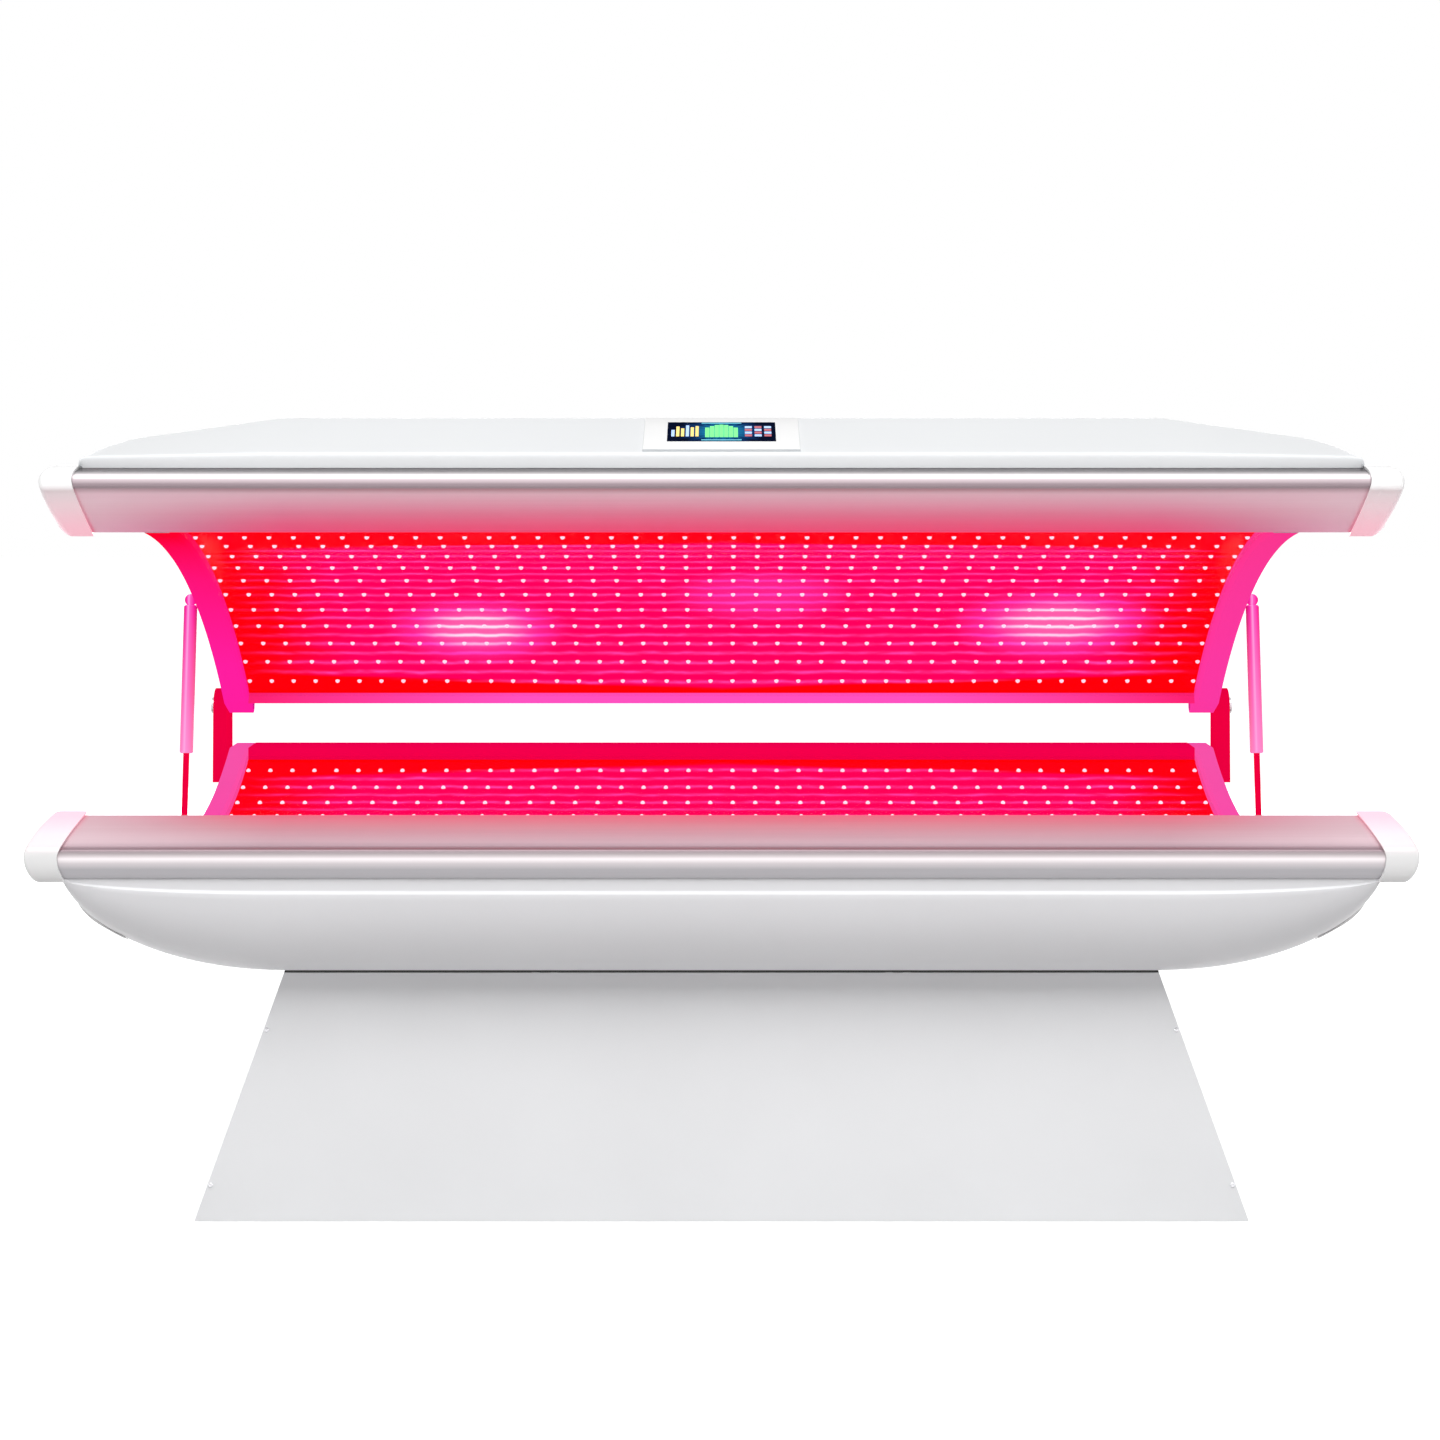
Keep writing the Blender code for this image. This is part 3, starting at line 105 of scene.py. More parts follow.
CREASE_V = 0.50
EDGE_V = 0.95
CAP_STEPS = 7

# Hull and end covers
HULL_END_RUN = 0.3080
HULL_FLAT_HALF = 0.641
HULL_END_TURN = math.radians(86.0)
HULL_BAND = 0.15
HULL_LEDGE = 0.022
HULL_LEDGE_DROP = 0.04
HULL_TILT = 0.12
HULL_CURVE = 2.6
HULL_LEAST = 0.12
HULL_FULLNESS = 0.5
BISECTIONS = 24
HULL_SIDE_RUN = 0.138
HULL_RIM_FALL = 0.040
HULL_WALL = 0.004
HULL_END_STEPS = 36
HULL_BAND_STEPS = 16
HULL_SIDE_STEPS = 24
HULL_FLAT_STEPS = 8
COVER_GAP = 0.0006
COVER_THICK = 0.002
COVER_SWELL = 0.002
COVER_START = 0.55
COVER_SWELL_AT = 0.75
COVER_SWELL_SPREAD = 0.14
COVER_DECK = 0.004
COVER_FRONT = 0.066
COVER_DECK_IN = 0.903
COVER_STEPS = 22
COVER_SECTIONS = 30

# Canopy dome
CANOPY_SEAM_RISE = 0.042
NOSE_SETBACK = 0.006
NOSE_REACH = 0.008
CROWN_FRONT = 0.130
CROWN_REAR = 0.260
SHELL_REAR_SETBACK = 0.038
SHELL_END_RUN = 0.277
SHELL_END_MARGIN = 0.002
SHELL_TAPER_START = 0.06
SHELL_TAPER = 0.18
SHELL_END_FALL = 0.293
SHELL_END_POWER = 40.0
SHELL_END_ROUNDING = 0.2
SHELL_WALL = 0.004
SHELL_END_STEPS = 30
NOSE_STEPS = 12
SLOPE_STEPS = 6
CROWN_STEPS = 48

# Light fields
BED_SAG = 0.088
CANOPY_SAG = 0.060
BED_REAR_WIDTH = 0.100
CANOPY_REAR_WIDTH = 0.060
CANOPY_REAR_HEIGHT = 0.059
CANOPY_REAR_LIP = 0.027
CANOPY_REAR_CHAMFER = 0.017
CANOPY_REAR_SLOPE = 0.0155
REAR_RAIL_WALL = 0.003
ARC_STEPS = 64
FIELD_EDGE = 0.006
ACRYLIC_DROP = 0.006
ACRYLIC_THICK = 0.004
LED_AIR = 0.008
BOARD_THICK = 0.0016
TRAY_THICK = 0.002
BOARD_SPACE = 0.004
BOARD_COUNT = 3
BOARD_MARGIN = 0.0005
BOARD_STEPS = 20
TRIM_STEPS = 4
LED_COLUMNS = 44
LED_ROWS = 13
LED_MARGIN = 0.006
LED_RADIUS = 0.0038
LED_HEIGHT = 0.0042
LED_SIDES = 10
LED_RINGS = 3
# Share by which a base colour is darker than the painted glow of a piece with painted lamplight
LIT_DARKENING = 0.75
DARK = (0.0, 0.0, 0.0)
PANEL_WHITE = (0.80, 0.80, 0.81)
RIPPLE_MEAN = 0.8
RIPPLE_SIZE = 0.4
LINE_SHARPNESS = 8.0
# Painted glare on a board: a pink haze and a white core
HAZE_LEVEL = 0.50
GLARE_HAZE_PINK = (1.0, 0.05, 0.58)
CORE_SHARPNESS = 8.0
CORE_LEVEL = 0.12
GLARE_CORE_WHITE = (1.0, 0.80, 0.95)
FRONT_RED_TO = 0.24
RED_FADE = 0.05
REAR_RED_FROM = 0.94

# End panels
PANEL_WALL = 0.005
RIM_BAND = 0.006
RIM_CHAMFER = 0.0045
BED_BAND_TRIM = 0.0095
PANEL_SKIRT = 0.090
PANEL_SLOPE = 0.080
PANEL_REAR_MARGIN = 0.020
PANEL_RISE = 0.060
PANEL_FLOOR_Z = 0.4475
EAR_RADIUS = 0.013
EAR_STEPS = 20

# Control panel
CONTROL_WIDTH = 0.232
CONTROL_LENGTH = 0.165
CONTROL_THICK = 0.022
CONTROL_DEPTH = 0.058
CONTROL_RISE = 0.080
CONTROL_TILT = math.radians(41.0)
CONTROL_ROUNDING = 0.0012
CONTROL_PROUD = 0.004
# Depth of the grey strip that stands in for the shade under the control plate's front edge
EDGE_SHADE_RUN = 0.0009
SCREEN_WIDTH = 0.162
SCREEN_LENGTH = 0.100
SCREEN_OFFSET = 0.006
SCREEN_THICK = 0.003
SCREEN_PROUD = 0.0006
SCREEN_RAYS = 22.0
SCREEN_U_SPAN = 2.0
SCREEN_V_SPAN = 1.2
MARK_THICK = 0.0002
GREEN_START = -0.0245
GREEN_PITCH = 0.0071
GREEN_WIDTH = 0.0064
GREEN_LOW = -0.030
GREEN_HEIGHTS = (0.050, 0.058, 0.064, 0.066, 0.064, 0.058, 0.050)
BAR_START = -0.075
BAR_PITCH = 0.0072
BAR_WIDTH = 0.0048
BAR_LOW = -0.026
BAR_HEIGHTS = (0.034, 0.052, 0.042, 0.058, 0.048, 0.054)
KEY_START = 0.035
KEY_PITCH = 0.0145
KEY_SIDE = 0.0105
KEY_LOW = -0.026
KEY_ROWS = 4
KEY_COLUMNS = 3
EDGE_HALF = 0.030
EDGE_AT = 0.043
EDGE_WIDE = 0.003

# Gas struts
STRUT_TUBE_RADIUS = 0.011
STRUT_TUBE_START = 0.009
STRUT_TUBE_END = 0.253
STRUT_ROD_RADIUS = 0.005
STRUT_BALL_RADIUS = 0.010
STRUT_NECK_RADIUS = 0.006
STRUT_BORE_TOP = 0.068
STRUT_ROD_TOP = 0.215
STRUT_ROUNDING = 0.002
STRUT_SIDES = 32
BALL_STEPS = 12

# Pedestal
BASE_TOP_HALF = 0.647
BASE_FOOT_Z = 0.001
# Height of the dark strip that stands in for the shadow under the hull
BASE_SHADOW_STRIP = 0.004
HULL_LIFT = 0.004
SHEET_ROUNDING = 0.0008
SCREW_HEIGHTS = (0.285, 0.055)
SCREW_INSET = 0.005
SCREW_RADIUS = 0.0036
SCREW_HEIGHT = 0.002
SCREW_SIDES = 16
SCREW_HEAD = [
    (0.0, 0.0),
    (SCREW_RADIUS, 0.0),
    (SCREW_RADIUS, SCREW_HEIGHT * 0.5),
    (SCREW_RADIUS * 0.7, SCREW_HEIGHT),
    (SCREW_RADIUS * 0.4, SCREW_HEIGHT),
    (0.0, SCREW_HEIGHT * 0.2),
]
REAR_SCREW_INSET = 0.020
VENT_RADIUS = 0.0532
VENT_RIM_RADIUS = 0.062
VENT_RIM_PROUD = 0.002
VENT_SIDES = 48
VENT_RIM = [
    (VENT_RADIUS, 0.0),
    (VENT_RIM_RADIUS, 0.0),
    (VENT_RIM_RADIUS, VENT_RIM_PROUD / 2),
    (VENT_RIM_RADIUS - VENT_RIM_PROUD, VENT_RIM_PROUD),
    (VENT_RADIUS, VENT_RIM_PROUD),
]

# Camera, floor and light
CAMERA_DISTANCE = 4.3
CAMERA_Z = 1.199
FOCAL_PIXELS = 3003.0
IMAGE_PIXELS = 1440.0
SENSOR_MM = 36.0
HORIZON_PIXEL = 413.0
CENTRE_PIXEL = 721.5
WHITE = (1.0, 1.0, 1.0, 1.0)
AMBIENT = 0.16
FLOOR_HALF = 20.0
FLOOR_LIFT = 0.80
FLOOR_GREY = 0.52
FLOOR_NEAR = 1.3
FLOOR_FAR = 2.6
LAMPS = (
    ("key", (0.0, -3.75, 4.85), (0.0, -0.3, 0.6), (7.0, 4.6), 355.0),
    ("rear", (0.0, 4.8, 1.0), (0.0, 0.3, 0.7), (5.0, 1.6), 130.0),
    ("left", (-4.6, -1.6, 1.2), (-0.9, 0.0, 0.6), (2.0, 2.0), 28.0),
    ("right", (4.6, -1.6, 1.2), (0.9, 0.0, 0.6), (2.0, 2.0), 28.0),
)

# Lengths that follow from the values above
CANOPY_SEAM_Z = HINGE.z + CANOPY_SEAM_RISE
CANOPY_EDGE_Z = CANOPY_SEAM_Z - CANOPY_RAIL_RISE
BED_RAIL_RISE = RAIL_TOP_Z - BED_SEAM_Z
HULL_BOTTOM_Z = HULL_NODE_BOTTOM_Z + HULL_LIFT
HULL_FRONT = SEAM_SETBACK
HULL_REAR = BED_DEPTH - SEAM_SETBACK
SHELL_REAR = BED_DEPTH - SHELL_REAR_SETBACK
SHELL_FLAT_HALF = RAIL_HALF - SHELL_END_RUN
SHELL_FRONT_HALF = RAIL_HALF - RAIL_FOOT_SLANT * (1 + CAP_PROUD / BED_BULGE_RISE) - GAP
SHELL_REAR_HALF = PANEL_OUT + SHELL_END_MARGIN
BED_REAR_FACE = BED_DEPTH - BED_REAR_WIDTH
CANOPY_REAR_FACE = SHELL_REAR - CANOPY_REAR_WIDTH
CANOPY_REAR_Z = CANOPY_SEAM_Z - CANOPY_REAR_HEIGHT
FIELD_HALF = PANEL_IN - GAP
BED_RAIL = (BED_RAIL_RUN, BED_RAIL_RISE, BED_BULGE_RISE, BED_CREASE_RISE, BED_RAIL_SLANT)
CANOPY_RAIL = (CANOPY_RAIL_RUN, CANOPY_RAIL_RISE, CANOPY_BULGE_RISE, CANOPY_CREASE_RISE, CANOPY_RAIL_SLANT)
BOARD_DROP = ACRYLIC_DROP + ACRYLIC_THICK + LED_AIR
BED_PLACE = Matrix.Translation((0.0, FRONT_Y, 0.0))
CANOPY_OPEN = Matrix.Translation(HINGE) @ Matrix.Rotation(-OPEN_ANGLE, 4, "X") @ Matrix.Translation(-HINGE)
PLACES = {"bed": BED_PLACE, "canopy": CANOPY_OPEN @ BED_PLACE}


# Node graphs for the finishes

class Value:
    """A node's output; arithmetic on it adds Math nodes to its tree."""

    def __init__(self, tree, socket):
        self.tree = tree
        self.socket = socket

    def __add__(self, other):
        return self.tree.math("ADD", self, other)

    def __sub__(self, other):
        return self.tree.math("SUBTRACT", self, other)

    def __mul__(self, other):
        return self.tree.math("MULTIPLY", self, other)

    def __truediv__(self, other):
        return self.tree.math("DIVIDE", self, other)

    def __pow__(self, other):
        return self.tree.math("POWER", self, other)

    def __abs__(self):
        return self.tree.math("ABSOLUTE", self)


def rgba(colour):
    """A colour with full alpha; a node's output stays as it is."""
    return (*colour, 1.0) if isinstance(colour, tuple) else colour


class Tree:
    """A node tree, with short names for its nodes."""

    def __init__(self, node_tree):
        self.nodes = node_tree.nodes
        self.links = node_tree.links

    def plug(self, socket, value):
        if isinstance(value, Value):
            self.links.new(value.socket, socket)
        else:
            socket.default_value = value

    def node(self, kind, output, inputs, **settings):
        """One output of a new node with these settings and inputs."""
        node = self.nodes.new("ShaderNode" + kind)
        for name, value in settings.items():
            setattr(node, name, value)
        for socket, value in inputs.items():
            self.plug(node.inputs[socket], value)
        return Value(self, node.outputs[output])

    def coordinates(self, kind="Object"):
        return self.node("TexCoord", kind, {})

    def stretched(self, vector, scale):
        return self.node("Mapping", "Vector", {"Vector": vector, "Scale": scale})

    def split(self, vector):
        outputs = self.node("SeparateXYZ", 0, {0: vector}).socket.node.outputs
        return [Value(self, output) for output in outputs]

    def math(self, operation, first, second=0.0, clamp=False):
        return self.node("Math", 0, {0: first, 1: second}, operation=operation, use_clamp=clamp)

    def noise(self, vector, scale, detail=3.0):
        return self.node("TexNoise", "Fac", {"Vector": vector, "Scale": scale, "Detail": detail})

    def mix(self, factor, first, second, blend="MIX"):
        inputs = {"Factor": factor, 6: rgba(first), 7: rgba(second)}
        return self.node("Mix", 2, inputs, data_type="RGBA", blend_type=blend)

    def ramp(self, factor, stops, smooth=False):
        """Colours, or greys where a stop is one number, at places along a ramp."""
        value = self.node("ValToRGB", "Color", {"Fac": factor})
        band = value.socket.node.color_ramp
        band.interpolation = "EASE" if smooth else "LINEAR"
        while len(band.elements) < len(stops):
            band.elements.new(0.5)
        for element, (place, colour) in zip(band.elements, stops):
            element.position = place
            element.color = rgba(colour if isinstance(colour, tuple) else (colour,) * 3)
        return value


class Graph(Tree):
    """A material with a Principled shader."""

    def __init__(self, name, colour, roughness, metallic=0.0, **more):
        self.material = bpy.data.materials.new(name)
        self.material.use_nodes = True
        super().__init__(self.material.node_tree)
        self.shader = self.nodes["Principled BSDF"]
        more.update(Base_Color=rgba(colour), Roughness=roughness, Metallic=metallic)
        for socket, value in more.items():
            self.feed(socket.replace("_", " "), value)

    def feed(self, socket, value):
        self.plug(self.shader.inputs[socket], value)

    def gloss(self, cloud, low, high):
        """A roughness that wanders between two values."""
        self.feed("Roughness", self.ramp(cloud, [(0.3, low), (0.7, high)]))

    def mottle(self, socket, cloud, colour, dimming):
        """A colour that is a little dimmer in places."""
        dim = tuple(share * dimming for share in colour)
        self.feed(socket, self.ramp(cloud, [(0.35, dim), (0.65, colour)]))

    def bump(self, height, strength, distance):
        inputs = {"Height": height, "Strength": strength, "Distance": distance}
        self.feed("Normal", self.node("Bump", "Normal", inputs))


def moulding(name, colour, roughness, peel):
    """Moulded plastic: a faint orange peel, and a gloss that wanders a little."""
    graph = Graph(name, colour, roughness, Coat_Weight=0.10, Coat_Roughness=0.20)
    where = graph.coordinates()
    graph.gloss(graph.noise(where, 6.0), roughness - 0.02, roughness + 0.02)
    graph.mottle("Base Color", graph.noise(where, 2.5), colour, dimming=0.975)
    graph.bump(graph.noise(where, peel), strength=0.03, distance=0.0004)
    return graph.material


def painted_lamplight_cap(name, colour, roughness, peel, cast, glow):
    """White cap with the lamps' light painted on: a painted pink cast and a painted glow towards the lamps.
    The UV's v is 0 at its seam, 1 at its edge.
    """
    graph = Graph(name, colour, roughness, Coat_Weight=0.25, Coat_Roughness=0.12)
    graph.feed("Emission Color", rgba(glow))
    where = graph.coordinates()
    across = graph.split(graph.coordinates("UV"))[1]
    graph.feed("Base Color", graph.ramp(across, cast))
    graph.feed("Emission Strength", graph.ramp(across, [(0.40, 0.0), (1.0, 0.34)]))
    graph.gloss(graph.noise(where, 6.0), roughness - 0.05, roughness + 0.05)
    graph.bump(graph.noise(where, peel), strength=0.03, distance=0.0004)
    return graph.material


def powder_coat(name, colour):
    """Powder-coated sheet: a fine even texture."""
    graph = Graph(name, colour, 0.42)
    where = graph.coordinates()
    graph.gloss(graph.noise(where, 9.0), 0.38, 0.47)
    graph.mottle("Base Color", graph.noise(where, 3.0), colour, dimming=0.97)
    graph.bump(graph.noise(where, 1400.0, detail=2.0), strength=0.05, distance=0.0003)
    return graph.material


def anodised(name, stops):
    """Satin anodised extrusion with die lines, and light painted into its colour: a painted highlight on
    its bead, painted shade by its crease and a painted pink reflection of the lamps towards its inner edge.

    The UV's u is 0 and 1 at its ends, where the painted pink on its face fades to a paler one. The v is 0.1
    at the seam, 0.4 at the bulge, 0.5 at the crease and 0.95 at the inner edge.
    """
    graph = Graph(name, (0.6, 0.6, 0.6), 0.42, 0.55, Specular_IOR_Level=0.3)
    along, across, _ = graph.split(graph.coordinates("UV"))
    near_end = graph.ramp(abs(along - 0.5), [(0.34, 0.0), (0.50, 0.75)])
    on_face = graph.ramp(across, [(0.48, 0.0), (0.62, 1.0)])
    # Painted light along the profile, fading to a paler painted pink near the ends
    shade = graph.mix(near_end * on_face, graph.ramp(across, stops), RAIL_END_PAINTED_PINK)
    lines = graph.noise(graph.stretched(graph.coordinates(), (2.0, 900.0, 900.0)), 1.0)
    graph.feed("Base Color", graph.mix(0.08, shade, lines, "OVERLAY"))
    graph.gloss(lines, 0.38, 0.46)
    graph.bump(lines, strength=0.04, distance=0.0002)
    return graph.material


def plain_metal(name, colour, roughness):
    """Machined or mill metal with faint scratches."""
    graph = Graph(name, colour, roughness, 1.0)
    lines = graph.noise(graph.stretched(graph.coordinates(), (30.0, 400.0, 400.0)), 1.0)
    graph.gloss(lines, roughness - 0.08, roughness + 0.08)
    graph.bump(lines, strength=0.06, distance=0.0002)
    return graph.material


def lit_plastic(name, low, high, glow, towards=None, ends=None, right=None):
    """A white panel flooded by the lamps, their light painted on as a pink colour and a glow: the pink
    deepens from one end of its depth to the other.

    towards is where the lamps are (outwards along the bed, to the rear, up); faces that look away stay
    white, without the painted light. ends and right are painted lamplight colours that it takes near both
    ends or towards the right.
    """
    graph = Graph(name, high, 0.42, Emission_Strength=glow, Specular_IOR_Level=0.0)
    where = graph.coordinates()
    x, y, _ = graph.split(where)
    colour = graph.ramp(y * 1.1 + 0.5 + graph.noise(where, 5.0) * 0.1, [(0.25, low), (0.90, high)])
    if ends:
        colour = graph.mix(graph.ramp(abs(x), [(0.35, 0.0), (0.80, 0.9)]), colour, ends)
    if right:
        colour = graph.mix(graph.ramp(x * 0.5 + 0.5, [(0.4, 0.0), (0.9, 0.7)]), colour, right)
    # Painted glow: a darkened share of the painted pink in the base colour, the rest in the emission
    base = graph.mix(LIT_DARKENING, colour, DARK)
    if towards:
        normal = graph.split(graph.coordinates("Normal"))
        normal[0] *= graph.math("SIGN", x)
        facing = normal[0] * towards[0] + normal[1] * towards[1] + normal[2] * towards[2]
        lit = graph.ramp(facing, [(0.10, 0.0), (0.30, 1.0)])
        base = graph.mix(lit, PANEL_WHITE, base)
        colour = graph.mix(lit, DARK, colour)
    graph.feed("Base Color", base)
    graph.feed("Emission Color", colour)
    graph.bump(graph.noise(where, 700.0), strength=0.03, distance=0.0003)
    return graph.material


def lit_tube(name, stops, low, glow):
    """A polished strut with the lamps' light painted on: a painted highlight stripe between sides in
    painted shade, paler low down, and a painted glow.
    """
    graph = Graph(name, (0.5, 0.0, 0.1), 0.35, Emission_Strength=glow, Specular_IOR_Level=0.05)
    where = graph.coordinates()
    turn = graph.split(graph.coordinates("Normal"))[0]
    height = graph.split(where)[2]
    lowness = graph.ramp(height, [(0.62, 0.55), (0.88, 0.0)])
    colour = graph.mix(lowness, graph.ramp(turn * 0.5 + 0.5, stops), low, "LIGHTEN")
    smudge = graph.noise(graph.stretched(where, (60.0, 60.0, 4.0)), 1.0)
    colour = graph.mix(0.10, colour, smudge, "OVERLAY")
    graph.feed("Base Color", graph.mix(LIT_DARKENING, colour, DARK))
    graph.feed("Emission Color", colour)
    return graph.material


def acrylic(name, tint):
    """Clear sheet: seen through, with a faint sheen that grows at a slant."""
    graph = Graph(name, tint, 0.16, Specular_IOR_Level=0.1)
    facing = graph.node("LayerWeight", "Facing", {"Blend": 0.35})
    graph.feed("Alpha", graph.ramp(facing, [(0.0, 0.05), (1.0, 0.07)]))
    return graph.material


def lamp_board(name, ends, middle, line, painted_glare, strength):
    """Lit board seen through acrylic: red ends, pink between, with fine lines at and between its rows, and
    soft patches of painted glare.

    The UV runs along the bed and across the field, both from 0 to 1; each patch of painted glare is a
    centre, a half-size and a strength there.
    """
    graph = Graph(name, (0.25, 0.0, 0.01), 0.5, Emission_Strength=strength, Specular_IOR_Level=0.0)
    where = graph.coordinates("UV")
    along, across, _ = graph.split(where)
    redness = [(FRONT_RED_TO, 0.5), (FRONT_RED_TO + RED_FADE, 0.0), (REAR_RED_FROM, 0.0), (1.0, 0.5)]
    wander = graph.noise(graph.stretched(where, (9.0, 30.0, 1.0)), 1.0)
    reach = abs(along - 0.5) + wander * 0.12 + graph.ramp(across, redness)
    colour = graph.ramp(reach, [(0.42, middle), (0.54, ends)], smooth=True)
    ripple = graph.noise(graph.stretched(where, (34.0, 6.0, 1.0)), 1.0)
    phase = across * (2.0 * LED_ROWS) + (ripple - RIPPLE_MEAN) * RIPPLE_SIZE
    lines = abs(graph.math("COSINE", phase * math.pi)) ** LINE_SHARPNESS
    patches = graph.noise(graph.stretched(where, (40.0, 60.0, 1.0)), 1.0)
    patchy = graph.ramp(patches, [(0.35, 0.25), (0.65, 1.0)])
    inside = graph.ramp(reach, [(0.46, 1.0), (0.56, 0.0)])
    colour = graph.mix(lines * patchy * inside, colour, line)
    # Painted glare: a pink haze and a white core laid into the emission at each patch
    for (u, v), (width, height), amount in painted_glare:
        off_u = (along - u) / width
        off_v = (across - v) / height
        fade = graph.ramp(off_u * off_u + off_v * off_v, [(0.0, 1.0), (1.0, 0.0)], smooth=True) * amount
        colour = graph.mix(fade * (lines + HAZE_LEVEL), colour, GLARE_HAZE_PINK)
        colour = graph.mix(fade ** CORE_SHARPNESS * (lines + CORE_LEVEL), colour, GLARE_CORE_WHITE)
    graph.feed("Emission Color", colour)
    return graph.material


def glowing(name, colour, strength):
    """A lit surface of one colour with a slight unevenness."""
    graph = Graph(name, tuple(share * 0.5 for share in colour), 0.3, Emission_Strength=strength)
    graph.mottle("Emission Color", graph.noise(graph.coordinates(), 40.0), colour, dimming=0.9)
    return graph.material


def lit_glass(name, stops):
    """A lit screen: blue and cyan rays on near black, round the UV's origin at its middle."""
    graph = Graph(name, (0.002, 0.003, 0.008), 0.25, Emission_Strength=1.0, Specular_IOR_Level=0.0)
    along, across, _ = graph.split(graph.coordinates("UV"))
    reach = graph.math("SQRT", along * along + across * across)
    rays = graph.math("SINE", graph.math("ARCTAN2", across, along) * SCREEN_RAYS)
    graph.feed("Emission Color", graph.ramp(reach + rays * 0.05, stops))
    return graph.material


def black_plastic(name, colour, roughness):
    """Black moulding with a fine spark texture."""
    graph = Graph(name, colour, roughness)
    spark = graph.noise(graph.coordinates(), 1600.0)
    graph.gloss(spark, roughness - 0.06, roughness + 0.06)
    graph.bump(spark, strength=0.12, distance=0.0003)
    return graph.material


# Mesh helpers

def loft(bm, sections, caps=True):
    """Skin closed sections of equal length and cap both ends."""
    loops = [[bm.verts.new(point) for point in section] for section in sections]
    for near, far in zip(loops, loops[1:]):
        for i in range(len(near)):
            bm.faces.new((near[i - 1], near[i], far[i], far[i - 1]))
    if caps:
        bm.faces.new(loops[0])
        bm.faces.new(loops[-1])
    return loops


def prism_x(bm, outline, low, high):
    """Extrude a (depth, height) outline along X."""
    loft(bm, [[(x, y, z) for y, z in outline] for x in (low, high)])


def wall_loft(bm, sections):
    """Skin sections of a wall, each a pair of matched paths along its two faces, and cap both ends."""
    loops = loft(bm, [outer + inner[::-1] for outer, inner in sections], caps=False)
    for loop in (loops[0], loops[-1]):
        for i in range(len(loop) // 2 - 1):
            bm.faces.new((loop[i], loop[i + 1], loop[-i - 2], loop[-i - 1]))


def offset_path(path, distance):
    """Shift an open path to its right by a distance, with mitred corners."""
    normals = []
    for start, end in zip(path, path[1:]):
        along = (Vector(end) - Vector(start)).normalized()
        normals.append(Vector((along.y, -along.x)))
    shifted = []
    for i, point in enumerate(path):
        before = normals[max(i - 1, 0)]
        after = normals[min(i, len(normals) - 1)]
        mitre = (before + after) / (1.0 + before.dot(after))
        shifted.append(tuple(Vector(point) + mitre * distance))
    return shifted


def bezier(controls, steps):
    """Points of a Bezier curve after its start."""
    points = []
    for step in range(1, steps + 1):
        share = step / steps
        layer = [Vector(control) for control in controls]
        while len(layer) > 1:
            layer = [near.lerp(far, share) for near, far in zip(layer, layer[1:])]
        points.append(tuple(layer[0]))
    return points


def turned(bm, profile, matrix, sides):
    """Turn a (radius, height) profile, which starts and ends on its axis, about the matrix's Z axis."""
    rings = []
    for radius, height in profile:
        count = sides if radius else 1
        ring = []
        for i in range(count):
            angle = 2 * math.pi * i / sides
            point = Vector((radius * math.cos(angle), radius * math.sin(angle), height))
            ring.append(bm.verts.new(matrix @ point))
        rings.append(ring)
    for near, far in zip(rings, rings[1:]):
        for i in range(sides):
            corners = [near[i - 1], near[i]] if len(near) > 1 else [near[0]]
            corners += [far[i], far[i - 1]] if len(far) > 1 else [far[0]]
            bm.faces.new(corners)


def soften(bm, width, angle=30.0, segments=3):
    """Round every edge that is sharper than an angle."""
    bmesh.ops.recalc_face_normals(bm, faces=bm.faces)
    sharp = [edge for edge in bm.edges if edge.calc_face_angle(0.0) > math.radians(angle)]
    bmesh.ops.bevel(
        bm, geom=sharp, offset=width, segments=segments, profile=0.5, affect="EDGES", clamp_overlap=True)


def unwrap(bm, place):
    """Give each corner the UV that a function has for its point."""
    uv = bm.loops.layers.uv.new("UVMap")
    for face in bm.faces:
        for loop in face.loops:
            loop[uv].uv = place(loop.vert.co)


def add(name, bm, body, material, nodes=(), place=None):
    """A piece that rides on a body, wears a material and stands for some of its nodes."""
    bmesh.ops.recalc_face_normals(bm, faces=bm.faces)
    if bm.calc_volume(signed=True) < 0:
        bmesh.ops.reverse_faces(bm, faces=bm.faces)
    bm.transform(PLACES[body] if place is None else place)
    mesh = bpy.data.meshes.new(name)
    bm.to_mesh(mesh)
    bm.free()
    mesh.shade_smooth()
    mesh.set_sharp_from_angle(angle=math.radians(SMOOTH_UNDER))
    mesh.materials.append(material)
    piece = bpy.data.objects.new(name, mesh)
    bpy.context.scene.collection.objects.link(piece)
    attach(piece, body)
    if nodes:
        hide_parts(*nodes)


def skin(node, bm, body, material, place=None):
    """A piece that stands for one node and takes its name."""
    add(node + "_skin", bm, body, material, [node], place)


# Shapes that several pieces share

